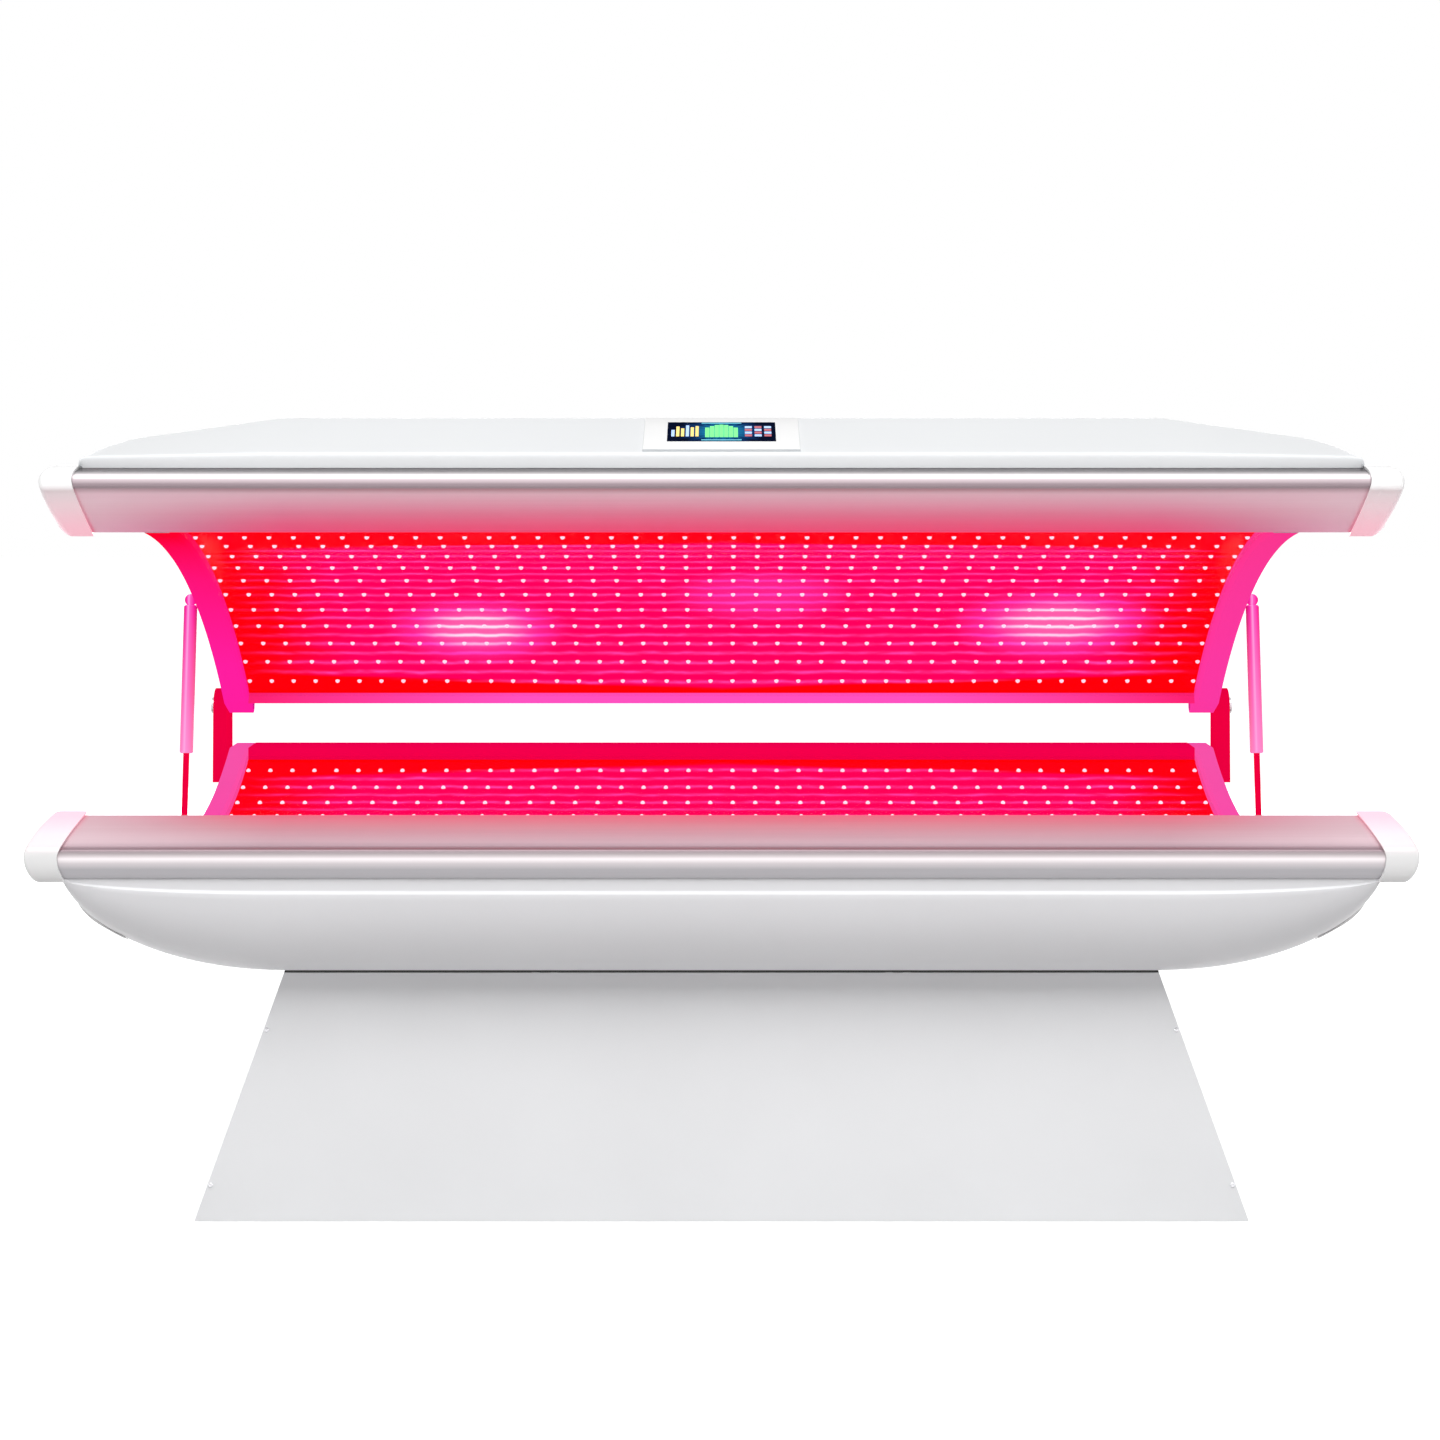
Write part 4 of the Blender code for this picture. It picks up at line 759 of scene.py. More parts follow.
def rail_path(shape):
    """Outer face of a front rail as (depth, rise over its seam), from the seam flange to the inner lip."""
    run, rise, bulge, crease_rise, _ = shape
    path = [(SEAM_SETBACK + RAIL_FLANGE, GAP), (SEAM_SETBACK, GAP)]
    for step in range(1, BEAD_STEPS + 1):
        angle = math.pi / 2 * step / BEAD_STEPS
        path.append((SEAM_SETBACK * (1 - math.sin(angle)), bulge * (1 - math.cos(angle))))
    crease = (CREASE_SETBACK, crease_rise)
    path += bezier([path[-1], (0.0, crease_rise), crease], SHOULDER_STEPS)
    edge = Vector((run, rise))
    along = (edge - Vector(crease)).normalized()
    control = (edge + Vector(crease)) / 2 + Vector((-along.y, along.x)) * FACE_CROWN
    path += bezier([crease, control, edge], FACE_STEPS)
    path.append((run + RAIL_LIP, rise - RAIL_LIP))
    return path


def slanted_end(length, shape, top_slant, foot_slant, power):
    """How far an end reaches at each rise: furthest at the bulge, and less above and below it."""
    rise, bulge = shape[1:3]

    def reach(height):
        over = (height - bulge) / (rise - bulge)
        under = (bulge - height) / bulge
        if over > 0:
            return length - top_slant * over ** power
        return length - foot_slant * under ** FOOT_POWER
    return reach


def hull_section(share):
    """Half-length, share of the fall and depth of the front's curve, at a share of the way to an end."""
    turn = share * HULL_END_TURN
    least = math.cos(HULL_END_TURN)
    fall = (math.cos(turn) - least) / (1 - least)
    return math.sin(turn), fall, HULL_SIDE_RUN * max(fall, HULL_LEAST) ** HULL_FULLNESS


def tuck(drop):
    """Share of the front's curve drawn in at a share of the hull's fall: a band, a ledge, then a tilt."""
    below = max(0.0, (drop - HULL_BAND) / (1 - HULL_BAND))
    out = min(1.0, max(0.0, (drop - HULL_BAND) / HULL_LEDGE_DROP + 1))
    ledge = HULL_LEDGE * out ** 2 * (3 - 2 * out) * (1 - below)
    curve = 1 - max(0.0, 1 - below ** HULL_CURVE) ** (1 / HULL_CURVE)
    return HULL_TILT * below + (1 - HULL_TILT) * curve - ledge


def hull_height(depth, fall, drop, swell):
    """Height of the hull, or of a surface outside it by the swell, at a share of its fall."""
    rim = BED_SEAM_Z - HULL_RIM_FALL * (depth - HULL_FRONT) / (HULL_REAR - HULL_FRONT)
    return rim - (rim - HULL_BOTTOM_Z + swell) * fall * drop


def hull_point(side, share, station, swell):
    """A point on the hull; a station is a share of its depth and a share of its fall."""
    across, drop = station
    reach, fall, run = hull_section(share)
    inset = (run + swell) * tuck(drop) - swell
    depth = HULL_FRONT + inset + (HULL_REAR - HULL_FRONT - 2 * inset) * across
    x = HULL_FLAT_HALF + (HULL_END_RUN + swell) * reach
    return Vector((side * x, depth, hull_height(depth, fall, drop, swell)))


def hull_point_at(side, share, depth, swell):
    """A point on the hull, or on a surface outside it by the swell, at a depth."""
    reach, fall, run = hull_section(share)
    inset = min(depth - HULL_FRONT, HULL_REAR - depth)
    target = min(1.0, (inset + swell) / (run + swell))
    low = 0.0
    high = 1.0
    for _ in range(BISECTIONS):
        middle = (low + high) / 2
        if tuck(middle) < target:
            low = middle
        else:
            high = middle
    x = HULL_FLAT_HALF + (HULL_END_RUN + swell) * reach
    return Vector((side * x, depth, hull_height(depth, fall, high, swell)))


def hull_stations():
    """Steps round the hull from front rim to rear rim, as (share of the depth, share of the fall)."""
    drops = [HULL_BAND * step / HULL_BAND_STEPS for step in range(HULL_BAND_STEPS)]
    for step in range(HULL_SIDE_STEPS + 1):
        drops.append(HULL_BAND + (1 - HULL_BAND) * math.sin(math.pi / 2 * step / HULL_SIDE_STEPS))
    flat = [step / HULL_FLAT_STEPS for step in range(1, HULL_FLAT_STEPS)]
    front = [(0.0, drop) for drop in drops]
    rear = [(1.0, drop) for drop in reversed(drops)]
    return front + [(across, 1.0) for across in flat] + rear


class Arc:
    """A shallow arc in the (depth, height) plane; up is 1 where layers stack downwards, as on the bed."""

    def __init__(self, front, rear, sag, up):
        start = Vector(front)
        end = Vector(rear)
        half = (end - start).length / 2
        along = (end - start).normalized()
        self.up = up
        self.radius = (half ** 2 + sag ** 2) / (2 * sag)
        self.centre = (start + end) / 2 + up * (self.radius - sag) * Vector((-along.y, along.x))

    def angle(self, depth, offset):
        """Angle from straight towards the layers at which a layer reaches a depth."""
        return math.asin((depth - self.centre.x) / (self.radius + offset))

    def point(self, angle, offset):
        """A point on the layer at an offset from the rim."""
        reach = self.radius + offset
        depth = self.centre.x + reach * math.sin(angle)
        return (depth, self.centre.y - self.up * reach * math.cos(angle))

    def points(self, offset, first, last, steps):
        """Points along a layer between two angles."""
        return [self.point(first + (last - first) * i / steps, offset) for i in range(steps + 1)]

    def layer(self, offset, start, end):
        """Points along a layer between two depths."""
        return self.points(offset, self.angle(start, offset), self.angle(end, offset), ARC_STEPS)

    def sheet(self, offset, thick, first, last, steps):
        """Closed outline of a curved sheet between two angles."""
        near = self.points(offset, first, last, steps)
        return near + self.points(offset + thick, last, first, steps)

    def frame(self, x, angle, offset):
        """A frame on a layer whose Z axis points off it, into the field's hollow."""
        depth, height = self.point(angle, offset)
        turn = angle if self.up > 0 else math.pi - angle
        return Matrix.Translation((x, depth, height)) @ Matrix.Rotation(turn, 4, "X")


BED_ARC = Arc((BED_RAIL_RUN, RAIL_TOP_Z), (BED_REAR_FACE, BED_REAR_TOP_Z), BED_SAG, 1)
CANOPY_ARC = Arc((CANOPY_RAIL_RUN, CANOPY_EDGE_Z), (CANOPY_REAR_FACE, CANOPY_REAR_Z), CANOPY_SAG, -1)
BED_FIELD_FRONT = BED_RAIL_RUN + RAIL_LIP + GAP
CANOPY_FIELD_FRONT = CANOPY_RAIL_RUN + RAIL_LIP + GAP


# Rails and caps

def rounded(point):
    """A (depth, rise) point to the micrometre, as a key."""
    return round(point[0], 6), round(point[1], 6)


def front_rail(body, shape, seam_z, up, material):
    """The beaded extrusion along the front; up is 1 on the bed and -1 on the canopy."""
    path = rail_path(shape)
    inner = offset_path(path, RAIL_WALL)
    reach = slanted_end(RAIL_HALF, shape, shape[4], RAIL_FOOT_SLANT, RAIL_END_POWER)
    stretches = (
        (BEAD_STEPS, SEAM_V, BULGE_V),
        (SHOULDER_STEPS, BULGE_V, CREASE_V),
        (FACE_STEPS, CREASE_V, EDGE_V),
    )
    shares = [0.0, SEAM_V]
    for steps, start, end in stretches:
        shares += [start + (end - start) * step / steps for step in range(1, steps + 1)]
    shares.append(1.0)
    share_at = {}
    for way in (path, inner):
        for point, share in zip(way, shares):
            share_at[rounded(point)] = share
    bm = bmesh.new()
    sections = []
    for side in (-1, 1):
        sections.append([[(side * reach(z), y, z) for y, z in way] for way in (path, inner)])
    wall_loft(bm, sections)
    unwrap(bm, lambda place: (place.x / (2 * RAIL_HALF) + 0.5, share_at[rounded(place.yz)]))
    for vert in bm.verts:
        vert.co.z = seam_z + up * vert.co.z
    skin(body + "_front_rail", bm, body, material)


def rail_cap(body, label, side, shape, seam_z, up, material):
    """A moulded cap that carries the rail's shape on past its end and rounds off."""
    run, rise, bulge, _, slant = shape
    inner_end = slanted_end(RAIL_HALF + GAP, shape, slant, RAIL_FOOT_SLANT, RAIL_END_POWER)
    outer_end = slanted_end(HALF_LENGTH, shape, CAP_TOP_SLANT, CAP_FOOT_SLANT, CAP_END_POWER)
    path = rail_path(shape)
    back = [(run, bulge)]
    sections = []

    def place(outline, end, short):
        return [(side * (end(z) - short), y, z) for y, z in outline]

    sections.append(place(offset_path(path, -CAP_PROUD) + back, inner_end, 0.0))
    for step in range(CAP_STEPS + 1):
        angle = math.pi / 2 * step / CAP_STEPS
        inset = CAP_ROUNDING * (1 - math.cos(angle))
        short = CAP_ROUNDING * (1 - math.sin(angle))
        sections.append(place(offset_path(path, inset - CAP_PROUD) + back, outer_end, short))
    bm = bmesh.new()
    loops = loft(bm, sections, caps=False)
    for loop in (loops[0], loops[-1]):
        for i in range(len(loop) - 2):
            bm.faces.new((loop[-1], loop[i], loop[i + 1]))
    unwrap(bm, lambda place: (place.x, place.z / rise))
    for vert in bm.verts:
        vert.co.z = seam_z + up * vert.co.z
    skin(body + "_rail_cap_" + label, bm, body, material)


# Hull and end covers

def hull(material):
    """The boat-shaped shell under the bed."""
    shares = [step / HULL_END_STEPS for step in range(HULL_END_STEPS + 1)]
    columns = [(-1, share) for share in reversed(shares)] + [(1, share) for share in shares]
    bm = bmesh.new()
    sections = []
    for station in hull_stations():
        faces = []
        for swell in (0.0, -HULL_WALL):
            faces.append([hull_point(*column, station, swell) for column in columns])
        sections.append(faces)
    wall_loft(bm, sections)
    skin("bed_hull", bm, "bed", material)


def end_cover(label, side, material):
    """A white moulding round the hull's end that swells half way down and runs out below."""
    shares = [COVER_START + (1 - COVER_START) * step / COVER_STEPS for step in range(COVER_STEPS + 1)]
    low = Vector((0.0, 0.0, COVER_GAP))
    high = Vector((0.0, 0.0, COVER_GAP + COVER_DECK))
    sections = []
    for step in range(COVER_SECTIONS + 1):
        depth = COVER_FRONT + (BED_DEPTH - 2 * COVER_FRONT) * step / COVER_SECTIONS
        outer = []
        for share in shares:
            near = max(0.0, 1 - ((share - COVER_SWELL_AT) / COVER_SWELL_SPREAD) ** 2)
            swell = COVER_GAP + COVER_THICK + COVER_SWELL * near ** 2
            outer.append(hull_point_at(side, share, depth, swell))
        inner = [hull_point_at(side, share, depth, COVER_GAP) for share in shares]
        ledge = Vector((side * COVER_DECK_IN, inner[-1].y, inner[-1].z))
        sections.append((outer + [outer[-1] + high, ledge + high], inner + [inner[-1] + low, ledge + low]))
    bm = bmesh.new()
    wall_loft(bm, sections)
    skin("bed_end_cover_" + label, bm, "bed", material)


# Canopy dome

def control_point(shift, height):
    """A (depth, height) point on the control panel's slope, up the slope and out of its plate."""
    along = Vector((math.cos(CONTROL_TILT), math.sin(CONTROL_TILT)))
    out = Vector((-along.y, along.x))
    return Vector((CONTROL_DEPTH, CANOPY_SEAM_Z + CONTROL_RISE)) + along * shift + out * height


def dome_profile():
    """Section of the dome as (depth, rise over its seam): rounded nose, flat slope, arc to the rear."""
    along = Vector((math.cos(CONTROL_TILT), math.sin(CONTROL_TILT)))
    seam = Vector((0.0, CANOPY_SEAM_Z))
    reach = CONTROL_LENGTH / 2 + GAP
    low = control_point(-reach, -CONTROL_PROUD) - seam
    high = control_point(reach, -CONTROL_PROUD) - seam
    front = Vector((NOSE_SETBACK, 0.0))
    rear = Vector((SHELL_REAR, 0.0))
    points = [tuple(front)] + bezier([front, low - along * NOSE_REACH, low], NOSE_STEPS)
    points += bezier([low, high], SLOPE_STEPS)
    crown = [high, high + along * CROWN_FRONT, rear + Vector((0.0, CROWN_REAR)), rear]
    points += bezier(crown, CROWN_STEPS)
    return points


def dome_point(side, share, point, shrink):
    """A point on the dome above a point of its section; a share below 0 is the control panel's edge."""
    depth, rise = point
    away = min(1.0, max(0.0, (depth - SHELL_TAPER_START) / SHELL_TAPER))
    half = SHELL_FRONT_HALF + (SHELL_REAR_HALF - SHELL_FRONT_HALF) * away ** 2 * (3 - 2 * away)
    reach = math.sin(max(0.0, share) * math.pi / 2)
    x = SHELL_FLAT_HALF + (half - SHELL_FLAT_HALF - shrink) * reach
    if share < 0:
        x = CONTROL_WIDTH / 2 + GAP
    spread = max(0.0, x - SHELL_FLAT_HALF) / (SHELL_FRONT_HALF - SHELL_FLAT_HALF)
    full = (1 - SHELL_END_FALL * spread) * (1 - reach ** SHELL_END_POWER) ** SHELL_END_ROUNDING
    return Vector((side * x, depth, CANOPY_SEAM_Z + rise * full))


def dome(material):
    """The canopy's outer dome, with a window for the control panel."""
    outer = dome_profile()
    inner = offset_path(outer, SHELL_WALL)
    inner[0] = (NOSE_SETBACK + SHELL_WALL, 0.0)
    inner[-1] = (SHELL_REAR - SHELL_WALL, 0.0)
    shares = [step / SHELL_END_STEPS for step in range(SHELL_END_STEPS + 1)]
    columns = [(-1, share) for share in reversed(shares)] + [(-1, -1), (1, -1)]
    columns += [(1, share) for share in shares]
    hole_column = len(shares)
    hole_rows = range(NOSE_STEPS, NOSE_STEPS + SLOPE_STEPS)
    bm = bmesh.new()
    grids = []
    for section, shrink in ((outer, 0.0), (inner, SHELL_WALL)):
        grid = []
        for point in section:
            grid.append([bm.verts.new(dome_point(*column, point, shrink)) for column in columns])
        grids.append(grid)
    for grid in grids:
        for i in range(len(outer) - 1):
            for j in range(len(columns) - 1):
                if j == hole_column and i in hole_rows:
                    continue
                bm.faces.new((grid[i][j], grid[i][j + 1], grid[i + 1][j + 1], grid[i + 1][j]))
    twins = {}
    for near, far in zip(*grids):
        twins.update(zip(near, far))
    for edge in [edge for edge in bm.edges if edge.is_boundary]:
        a, b = edge.verts
        if a in twins and b in twins:
            bm.faces.new((a, b, twins[b], twins[a]))
    skin("canopy_shell", bm, "canopy", material)


# Light fields

def field_angles(arc, front, rear):
    """First and last angle of a light field's layers."""
    deepest = BOARD_DROP + BOARD_THICK + GAP + TRAY_THICK
    return arc.angle(front + FIELD_EDGE, deepest), arc.angle(rear - FIELD_EDGE, deepest)


def curved_sheet(arc, drop, thick, half, first, last, steps):
    """A sheet bent along an arc, from one half-length to the other."""
    near = arc.points(drop, first, last, steps)
    far = arc.points(drop + thick, first, last, steps)
    bm = bmesh.new()
    sections = []
    for x in (-half, half):
        sections.append([[(x, y, z) for y, z in way] for way in (near, far)])
    wall_loft(bm, sections)
    return bm


def light_field(body, arc, front, rear, clear, boards, trims, lamps):
    """Acrylic sheet, boards and edge trims behind it, and the rows of lamps."""
    first, last = field_angles(arc, front, rear)
    sheet = curved_sheet(arc, ACRYLIC_DROP, ACRYLIC_THICK, FIELD_HALF, first, last, ARC_STEPS)
    add(body + "_acrylic_skin", sheet, body, clear, [body + "_acrylic_sheet"])

    def board_uv(place):
        away = place.yz - arc.centre
        across = (math.asin(away.x / away.length) - first) / (last - first)
        return place.x / (2 * FIELD_HALF) + 0.5, across

    margin = BOARD_SPACE / 2 / arc.radius
    share = (last - first) / BOARD_COUNT
    for number in range(BOARD_COUNT):
        start = first + share * number + margin
        end = first + share * (number + 1) - margin
        bm = curved_sheet(arc, BOARD_DROP, BOARD_THICK, FIELD_HALF - BOARD_MARGIN, start, end, BOARD_STEPS)
        unwrap(bm, board_uv)
        skin(body + "_led_board_" + str(number + 1), bm, body, boards)
    bm = bmesh.new()
    edges = (
        (arc.angle(front + GAP, BOARD_DROP), first + margin),
        (last - margin, arc.angle(rear - GAP, BOARD_DROP)),
    )
    for start, end in edges:
        outline = arc.sheet(BOARD_DROP, BOARD_THICK, start, end, TRIM_STEPS)
        prism_x(bm, outline, -FIELD_HALF, FIELD_HALF)
    add(body + "_field_trims", bm, body, trims)
    rows = [first + (last - first) * (row + 0.5) / LED_ROWS for row in range(LED_ROWS)]
    bulb = [(0.0, 0.0), (LED_RADIUS, 0.0)]
    for ring in range(1, LED_RINGS + 1):
        turn = math.pi / 2 * ring / LED_RINGS
        radius = LED_RADIUS * math.cos(turn) if ring < LED_RINGS else 0.0
        bulb.append((radius, LED_HEIGHT * math.sin(turn)))
    bm = bmesh.new()
    reach = FIELD_HALF - LED_MARGIN
    for angle in rows:
        for column in range(LED_COLUMNS):
            x = reach * (2 * column / (LED_COLUMNS - 1) - 1)
            turned(bm, bulb, arc.frame(x, angle, BOARD_DROP), LED_SIDES)
    add(body + "_lamps", bm, body, lamps)


# End panels

def stepped_panel(body, label, side, out, rim, inner_rim, plate_edge, band_edge, material):
    """An end plate with a wide band round its rim that turns outwards, chamfered down to an inner rim."""
    bm = bmesh.new()

    def row(x, points):
        return [bm.verts.new((side * x, y, z)) for y, z in points]

    def strip(near, far):
        for i in range(len(near) - 1):
            bm.faces.new((near[i], near[i + 1], far[i + 1], far[i]))

    step = PANEL_IN + PANEL_WALL
    rest = rim[len(inner_rim):]
    rims = [row(PANEL_IN, inner_rim + rest), row(step, rim), row(out, rim)]
    for vert in rims[1][:len(inner_rim)]:
        vert.co.x = side * (PANEL_IN + RIM_CHAMFER)
    plates = [row(x, plate_edge) for x in (PANEL_IN, step)]
    bands = [row(x, band_edge) for x in (step, out)]
    plate_runs = [rims[k][-1:] + plates[k] for k in (0, 1)]
    band_runs = [rims[k + 1][-1:] + bands[k] + rims[k + 1][:1] for k in (0, 1)]
    strip(rims[0], rims[1])
    strip(rims[1], rims[2])
    strip(*plate_runs)
    strip(*band_runs)
    bm.faces.new((plates[0][-1], rims[0][0], rims[1][0], bands[0][-1], plates[1][-1]))
    bm.faces.new(rims[0] + plates[0])
    bm.faces.new(rims[2] + bands[1])
    bm.faces.new(plate_runs[1] + bands[0][::-1])
    skin(body + "_end_panel_" + label, bm, body, material)


def bed_end_panel(label, side, material):
    """End of the bed's light field."""
    front = BED_FIELD_FRONT
    rear = BED_DEPTH - PANEL_REAR_MARGIN
    skirt = BED_REAR_TOP_Z - PANEL_SKIRT
    rim = BED_ARC.layer(0.0, front, BED_REAR_FACE) + [(rear, BED_REAR_TOP_Z), (rear, skirt)]
    plate_edge = [
        (rear - PANEL_SLOPE, PANEL_FLOOR_Z),
        (front + PANEL_SLOPE, PANEL_FLOOR_Z),
        (front, skirt),
    ]
    band_edge = [(BED_REAR_FACE, skirt)] + BED_ARC.layer(RIM_BAND, BED_REAR_FACE, front)
    inner_rim = BED_ARC.layer(RIM_CHAMFER, front, BED_REAR_FACE)
    out = PANEL_OUT - BED_BAND_TRIM
    stepped_panel("bed", label, side, out, rim, inner_rim, plate_edge, band_edge, material)


def canopy_end_panel(label, side, material):
    """End of the canopy's light field, with the hinge's ear at its rear."""
    front = CANOPY_FIELD_FRONT
    rim = CANOPY_ARC.layer(0.0, front, CANOPY_REAR_FACE)
    for step in range(EAR_STEPS + 1):
        angle = math.pi * (step / EAR_STEPS - 0.5)
        rim.append((HINGE_DEPTH + EAR_RADIUS * math.cos(angle), HINGE.z + EAR_RADIUS * math.sin(angle)))
    top = CANOPY_SEAM_Z + PANEL_RISE
    plate_edge = [
        (CANOPY_REAR_FACE, CANOPY_SEAM_Z),
        (CANOPY_REAR_FACE - PANEL_SLOPE, top),
        (front + PANEL_SLOPE, top),
        (front, CANOPY_SEAM_Z - BED_BULGE_RISE),
    ]
    band_edge = CANOPY_ARC.layer(RIM_BAND, CANOPY_REAR_FACE, front)
    inner_rim = CANOPY_ARC.layer(RIM_CHAMFER, front, CANOPY_REAR_FACE)
    stepped_panel("canopy", label, side, PANEL_OUT, rim, inner_rim, plate_edge, band_edge, material)


def canopy_rear_rail(material):
    """Channel along the canopy's rear edge, whose underside rises to the rear."""
    rim = CANOPY_SEAM_Z - GAP
    path = [
        (SHELL_REAR - RAIL_FLANGE, rim),
        (SHELL_REAR, rim),
        (SHELL_REAR, CANOPY_REAR_Z + CANOPY_REAR_LIP),
        (SHELL_REAR - CANOPY_REAR_CHAMFER, CANOPY_REAR_Z + CANOPY_REAR_SLOPE),
        (CANOPY_REAR_FACE + GAP, CANOPY_REAR_Z),
        (CANOPY_REAR_FACE + GAP, CANOPY_REAR_Z + CANOPY_REAR_LIP),
    ]
    faces = (path, offset_path(path, REAR_RAIL_WALL))
    bm = bmesh.new()
    wall_loft(bm, [[[(x, y, z) for y, z in face] for face in faces] for x in (-FIELD_HALF, FIELD_HALF)])
    skin("canopy_rear_rail", bm, "canopy", material)


# Gas struts

def ball_profile(centre, first, last):
    """Part of a ball's profile between two angles from its top."""
    points = []
    for step in range(BALL_STEPS + 1):
        angle = first + (last - first) * step / BALL_STEPS
        radius = STRUT_BALL_RADIUS * math.sin(angle)
        points.append((radius if step or first else 0.0, centre + STRUT_BALL_RADIUS * math.cos(angle)))
    return points


def strut(label, tube_finish, rod_finish):
    """Cylinder and rod, made along the slide's axis from the upper ball down."""
    pivot = Vector(JOINTS["strut_swing_" + label]["pos_m"])
    axis = Vector(JOINTS["strut_stroke_" + label]["axis"])
    place = Matrix.Translation(pivot) @ Matrix.Rotation(-math.asin(axis.y), 4, "X")
    neck_angle = math.pi - math.asin(STRUT_NECK_RADIUS / STRUT_BALL_RADIUS)
    bore = STRUT_ROD_RADIUS + GAP
    tube = ball_profile(0.0, 0.0, neck_angle) + [
        (STRUT_NECK_RADIUS, -STRUT_TUBE_START),
        (STRUT_TUBE_RADIUS - STRUT_ROUNDING, -STRUT_TUBE_START),
        (STRUT_TUBE_RADIUS, -STRUT_TUBE_START - STRUT_ROUNDING),
        (STRUT_TUBE_RADIUS, -STRUT_TUBE_END + STRUT_ROUNDING),
        (STRUT_TUBE_RADIUS - STRUT_ROUNDING, -STRUT_TUBE_END),
        (bore, -STRUT_TUBE_END),
        (bore, -STRUT_BORE_TOP),
        (0.0, -STRUT_BORE_TOP),
    ]
    bm = bmesh.new()
    turned(bm, tube, place, STRUT_SIDES)
    node = "strut_cylinder_" + label
    skin(node, bm, node, tube_finish, Matrix())
    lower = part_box("strut_rod_" + label)[0]
    length = (pivot.z - lower.z - STRUT_BALL_RADIUS) / axis.z
    rod_angle = math.asin(STRUT_ROD_RADIUS / STRUT_BALL_RADIUS)
    rod = [(0.0, -STRUT_ROD_TOP), (STRUT_ROD_RADIUS, -STRUT_ROD_TOP)]
    rod += ball_profile(-length, rod_angle, math.pi)[:-1] + [(0.0, -length - STRUT_BALL_RADIUS)]
    bm = bmesh.new()
    turned(bm, rod, place, STRUT_SIDES)
    node = "strut_rod_" + label
    skin(node, bm, node, rod_finish, Matrix())


# Pedestal details

def base_half(height):
    """Half-length of the pedestal at a height."""
    share = (height - BASE_LOW.z) / (BASE_HIGH.z - BASE_LOW.z)
    return BASE_HIGH.x + (BASE_TOP_HALF - BASE_HIGH.x) * share


def base_sheet(bm, low, high, front):
    """A flared sheet across the pedestal's front between two heights."""
    corners = ((-1, high), (1, high), (1, low), (-1, low))
    sections = []
    for y in (front, BASE_HIGH.y):
        sections.append([(side * base_half(height), y, height) for side, height in corners])
    loft(bm, sections)


def base_front(panel_finish, screw_finish, shadow_strip_finish):
    """Front sheet with a rolled outer edge, a dark strip over it that stands in for the shadow under the
    hull, and its four screws.
    """
    bm = bmesh.new()
    base_sheet(bm, BASE_FOOT_Z, BASE_HIGH.z - BASE_SHADOW_STRIP, BASE_LOW.y)
    soften(bm, SHEET_ROUNDING, angle=60.0)
    skin("base_front_panel", bm, "bed", panel_finish, Matrix())
    # Painted shadow: a dark strip between the sheet and the hull, in the place of the shadow gap there
    bm = bmesh.new()
    base_sheet(bm, BASE_HIGH.z - BASE_SHADOW_STRIP + GAP, BASE_HIGH.z + HULL_LIFT - GAP, BASE_LOW.y + GAP)
    add("base_shadow_strip", bm, "bed", shadow_strip_finish, (), Matrix())
    bm = bmesh.new()
    for height in SCREW_HEIGHTS:
        for _, side in SIDES:
            x = side * (base_half(height) - SCREW_INSET)
            place = Matrix.Translation((x, BASE_LOW.y, height)) @ Matrix.Rotation(math.pi / 2, 4, "X")
            turned(bm, SCREW_HEAD, place, SCREW_SIDES)
    add("base_screws", bm, "bed", screw_finish, (), Matrix())


def base_rear(rim_finish, screw_finish):
    """A moulded rim round each fan's vent, and screws along the rear sheet's edges."""
    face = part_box("base_rear_panel")[1].y
    bm = bmesh.new()
    for label, _ in SIDES:
        low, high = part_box("fan_frame_" + label)
        middle = (low + high) / 2
        middle.y = face + GAP
        sections = []
        for step in range(VENT_SIDES + 1):
            angle = 2 * math.pi * step / VENT_SIDES
            out = Vector((math.cos(angle), 0.0, math.sin(angle)))
            ring = [middle + out * radius + Vector((0.0, proud, 0.0)) for radius, proud in VENT_RIM]
            sections.append(ring)
        loft(bm, sections, caps=False)
    bmesh.ops.remove_doubles(bm, verts=bm.verts, dist=GAP / 10)
    add("fan_vent_rims", bm, "bed", rim_finish, (), Matrix())
    bm = bmesh.new()
    for height in SCREW_HEIGHTS:
        for x in (-1, 0, 1):
            place = Matrix.Translation((x * (base_half(height) - REAR_SCREW_INSET), face, height))
            turned(bm, SCREW_HEAD, place @ Matrix.Rotation(-math.pi / 2, 4, "X"), SCREW_SIDES)
    add("base_rear_screws", bm, "bed", screw_finish, (), Matrix())


# Control panel and its screen

def slope_plate(bm, left, right, low, high, base, top):
    """A flat plate on the control panel's slope, between two shifts up it and two heights over it."""
    corners = []
    for shift, height in ((low, base), (high, base), (high, top), (low, top)):
        corners.append(tuple(control_point(shift, height)))
    prism_x(bm, corners, left, right)


def control_slab(width, length, shift, low, high, rounding):
    """A rounded slab on the control panel's slope between two heights over its plate."""
    bm = bmesh.new()
    slope_plate(bm, -width / 2, width / 2, shift - length / 2, shift + length / 2, low, high)
    soften(bm, rounding)
    return bm


def screen_uv(place):
    """UV on the screen, from an origin at its middle."""
    offset = place.yz - control_point(SCREEN_OFFSET, 0.0)
    across = offset.length * (1 if offset.y > 0 else -1)
    return place.x / SCREEN_WIDTH * SCREEN_U_SPAN, across / SCREEN_LENGTH * SCREEN_V_SPAN


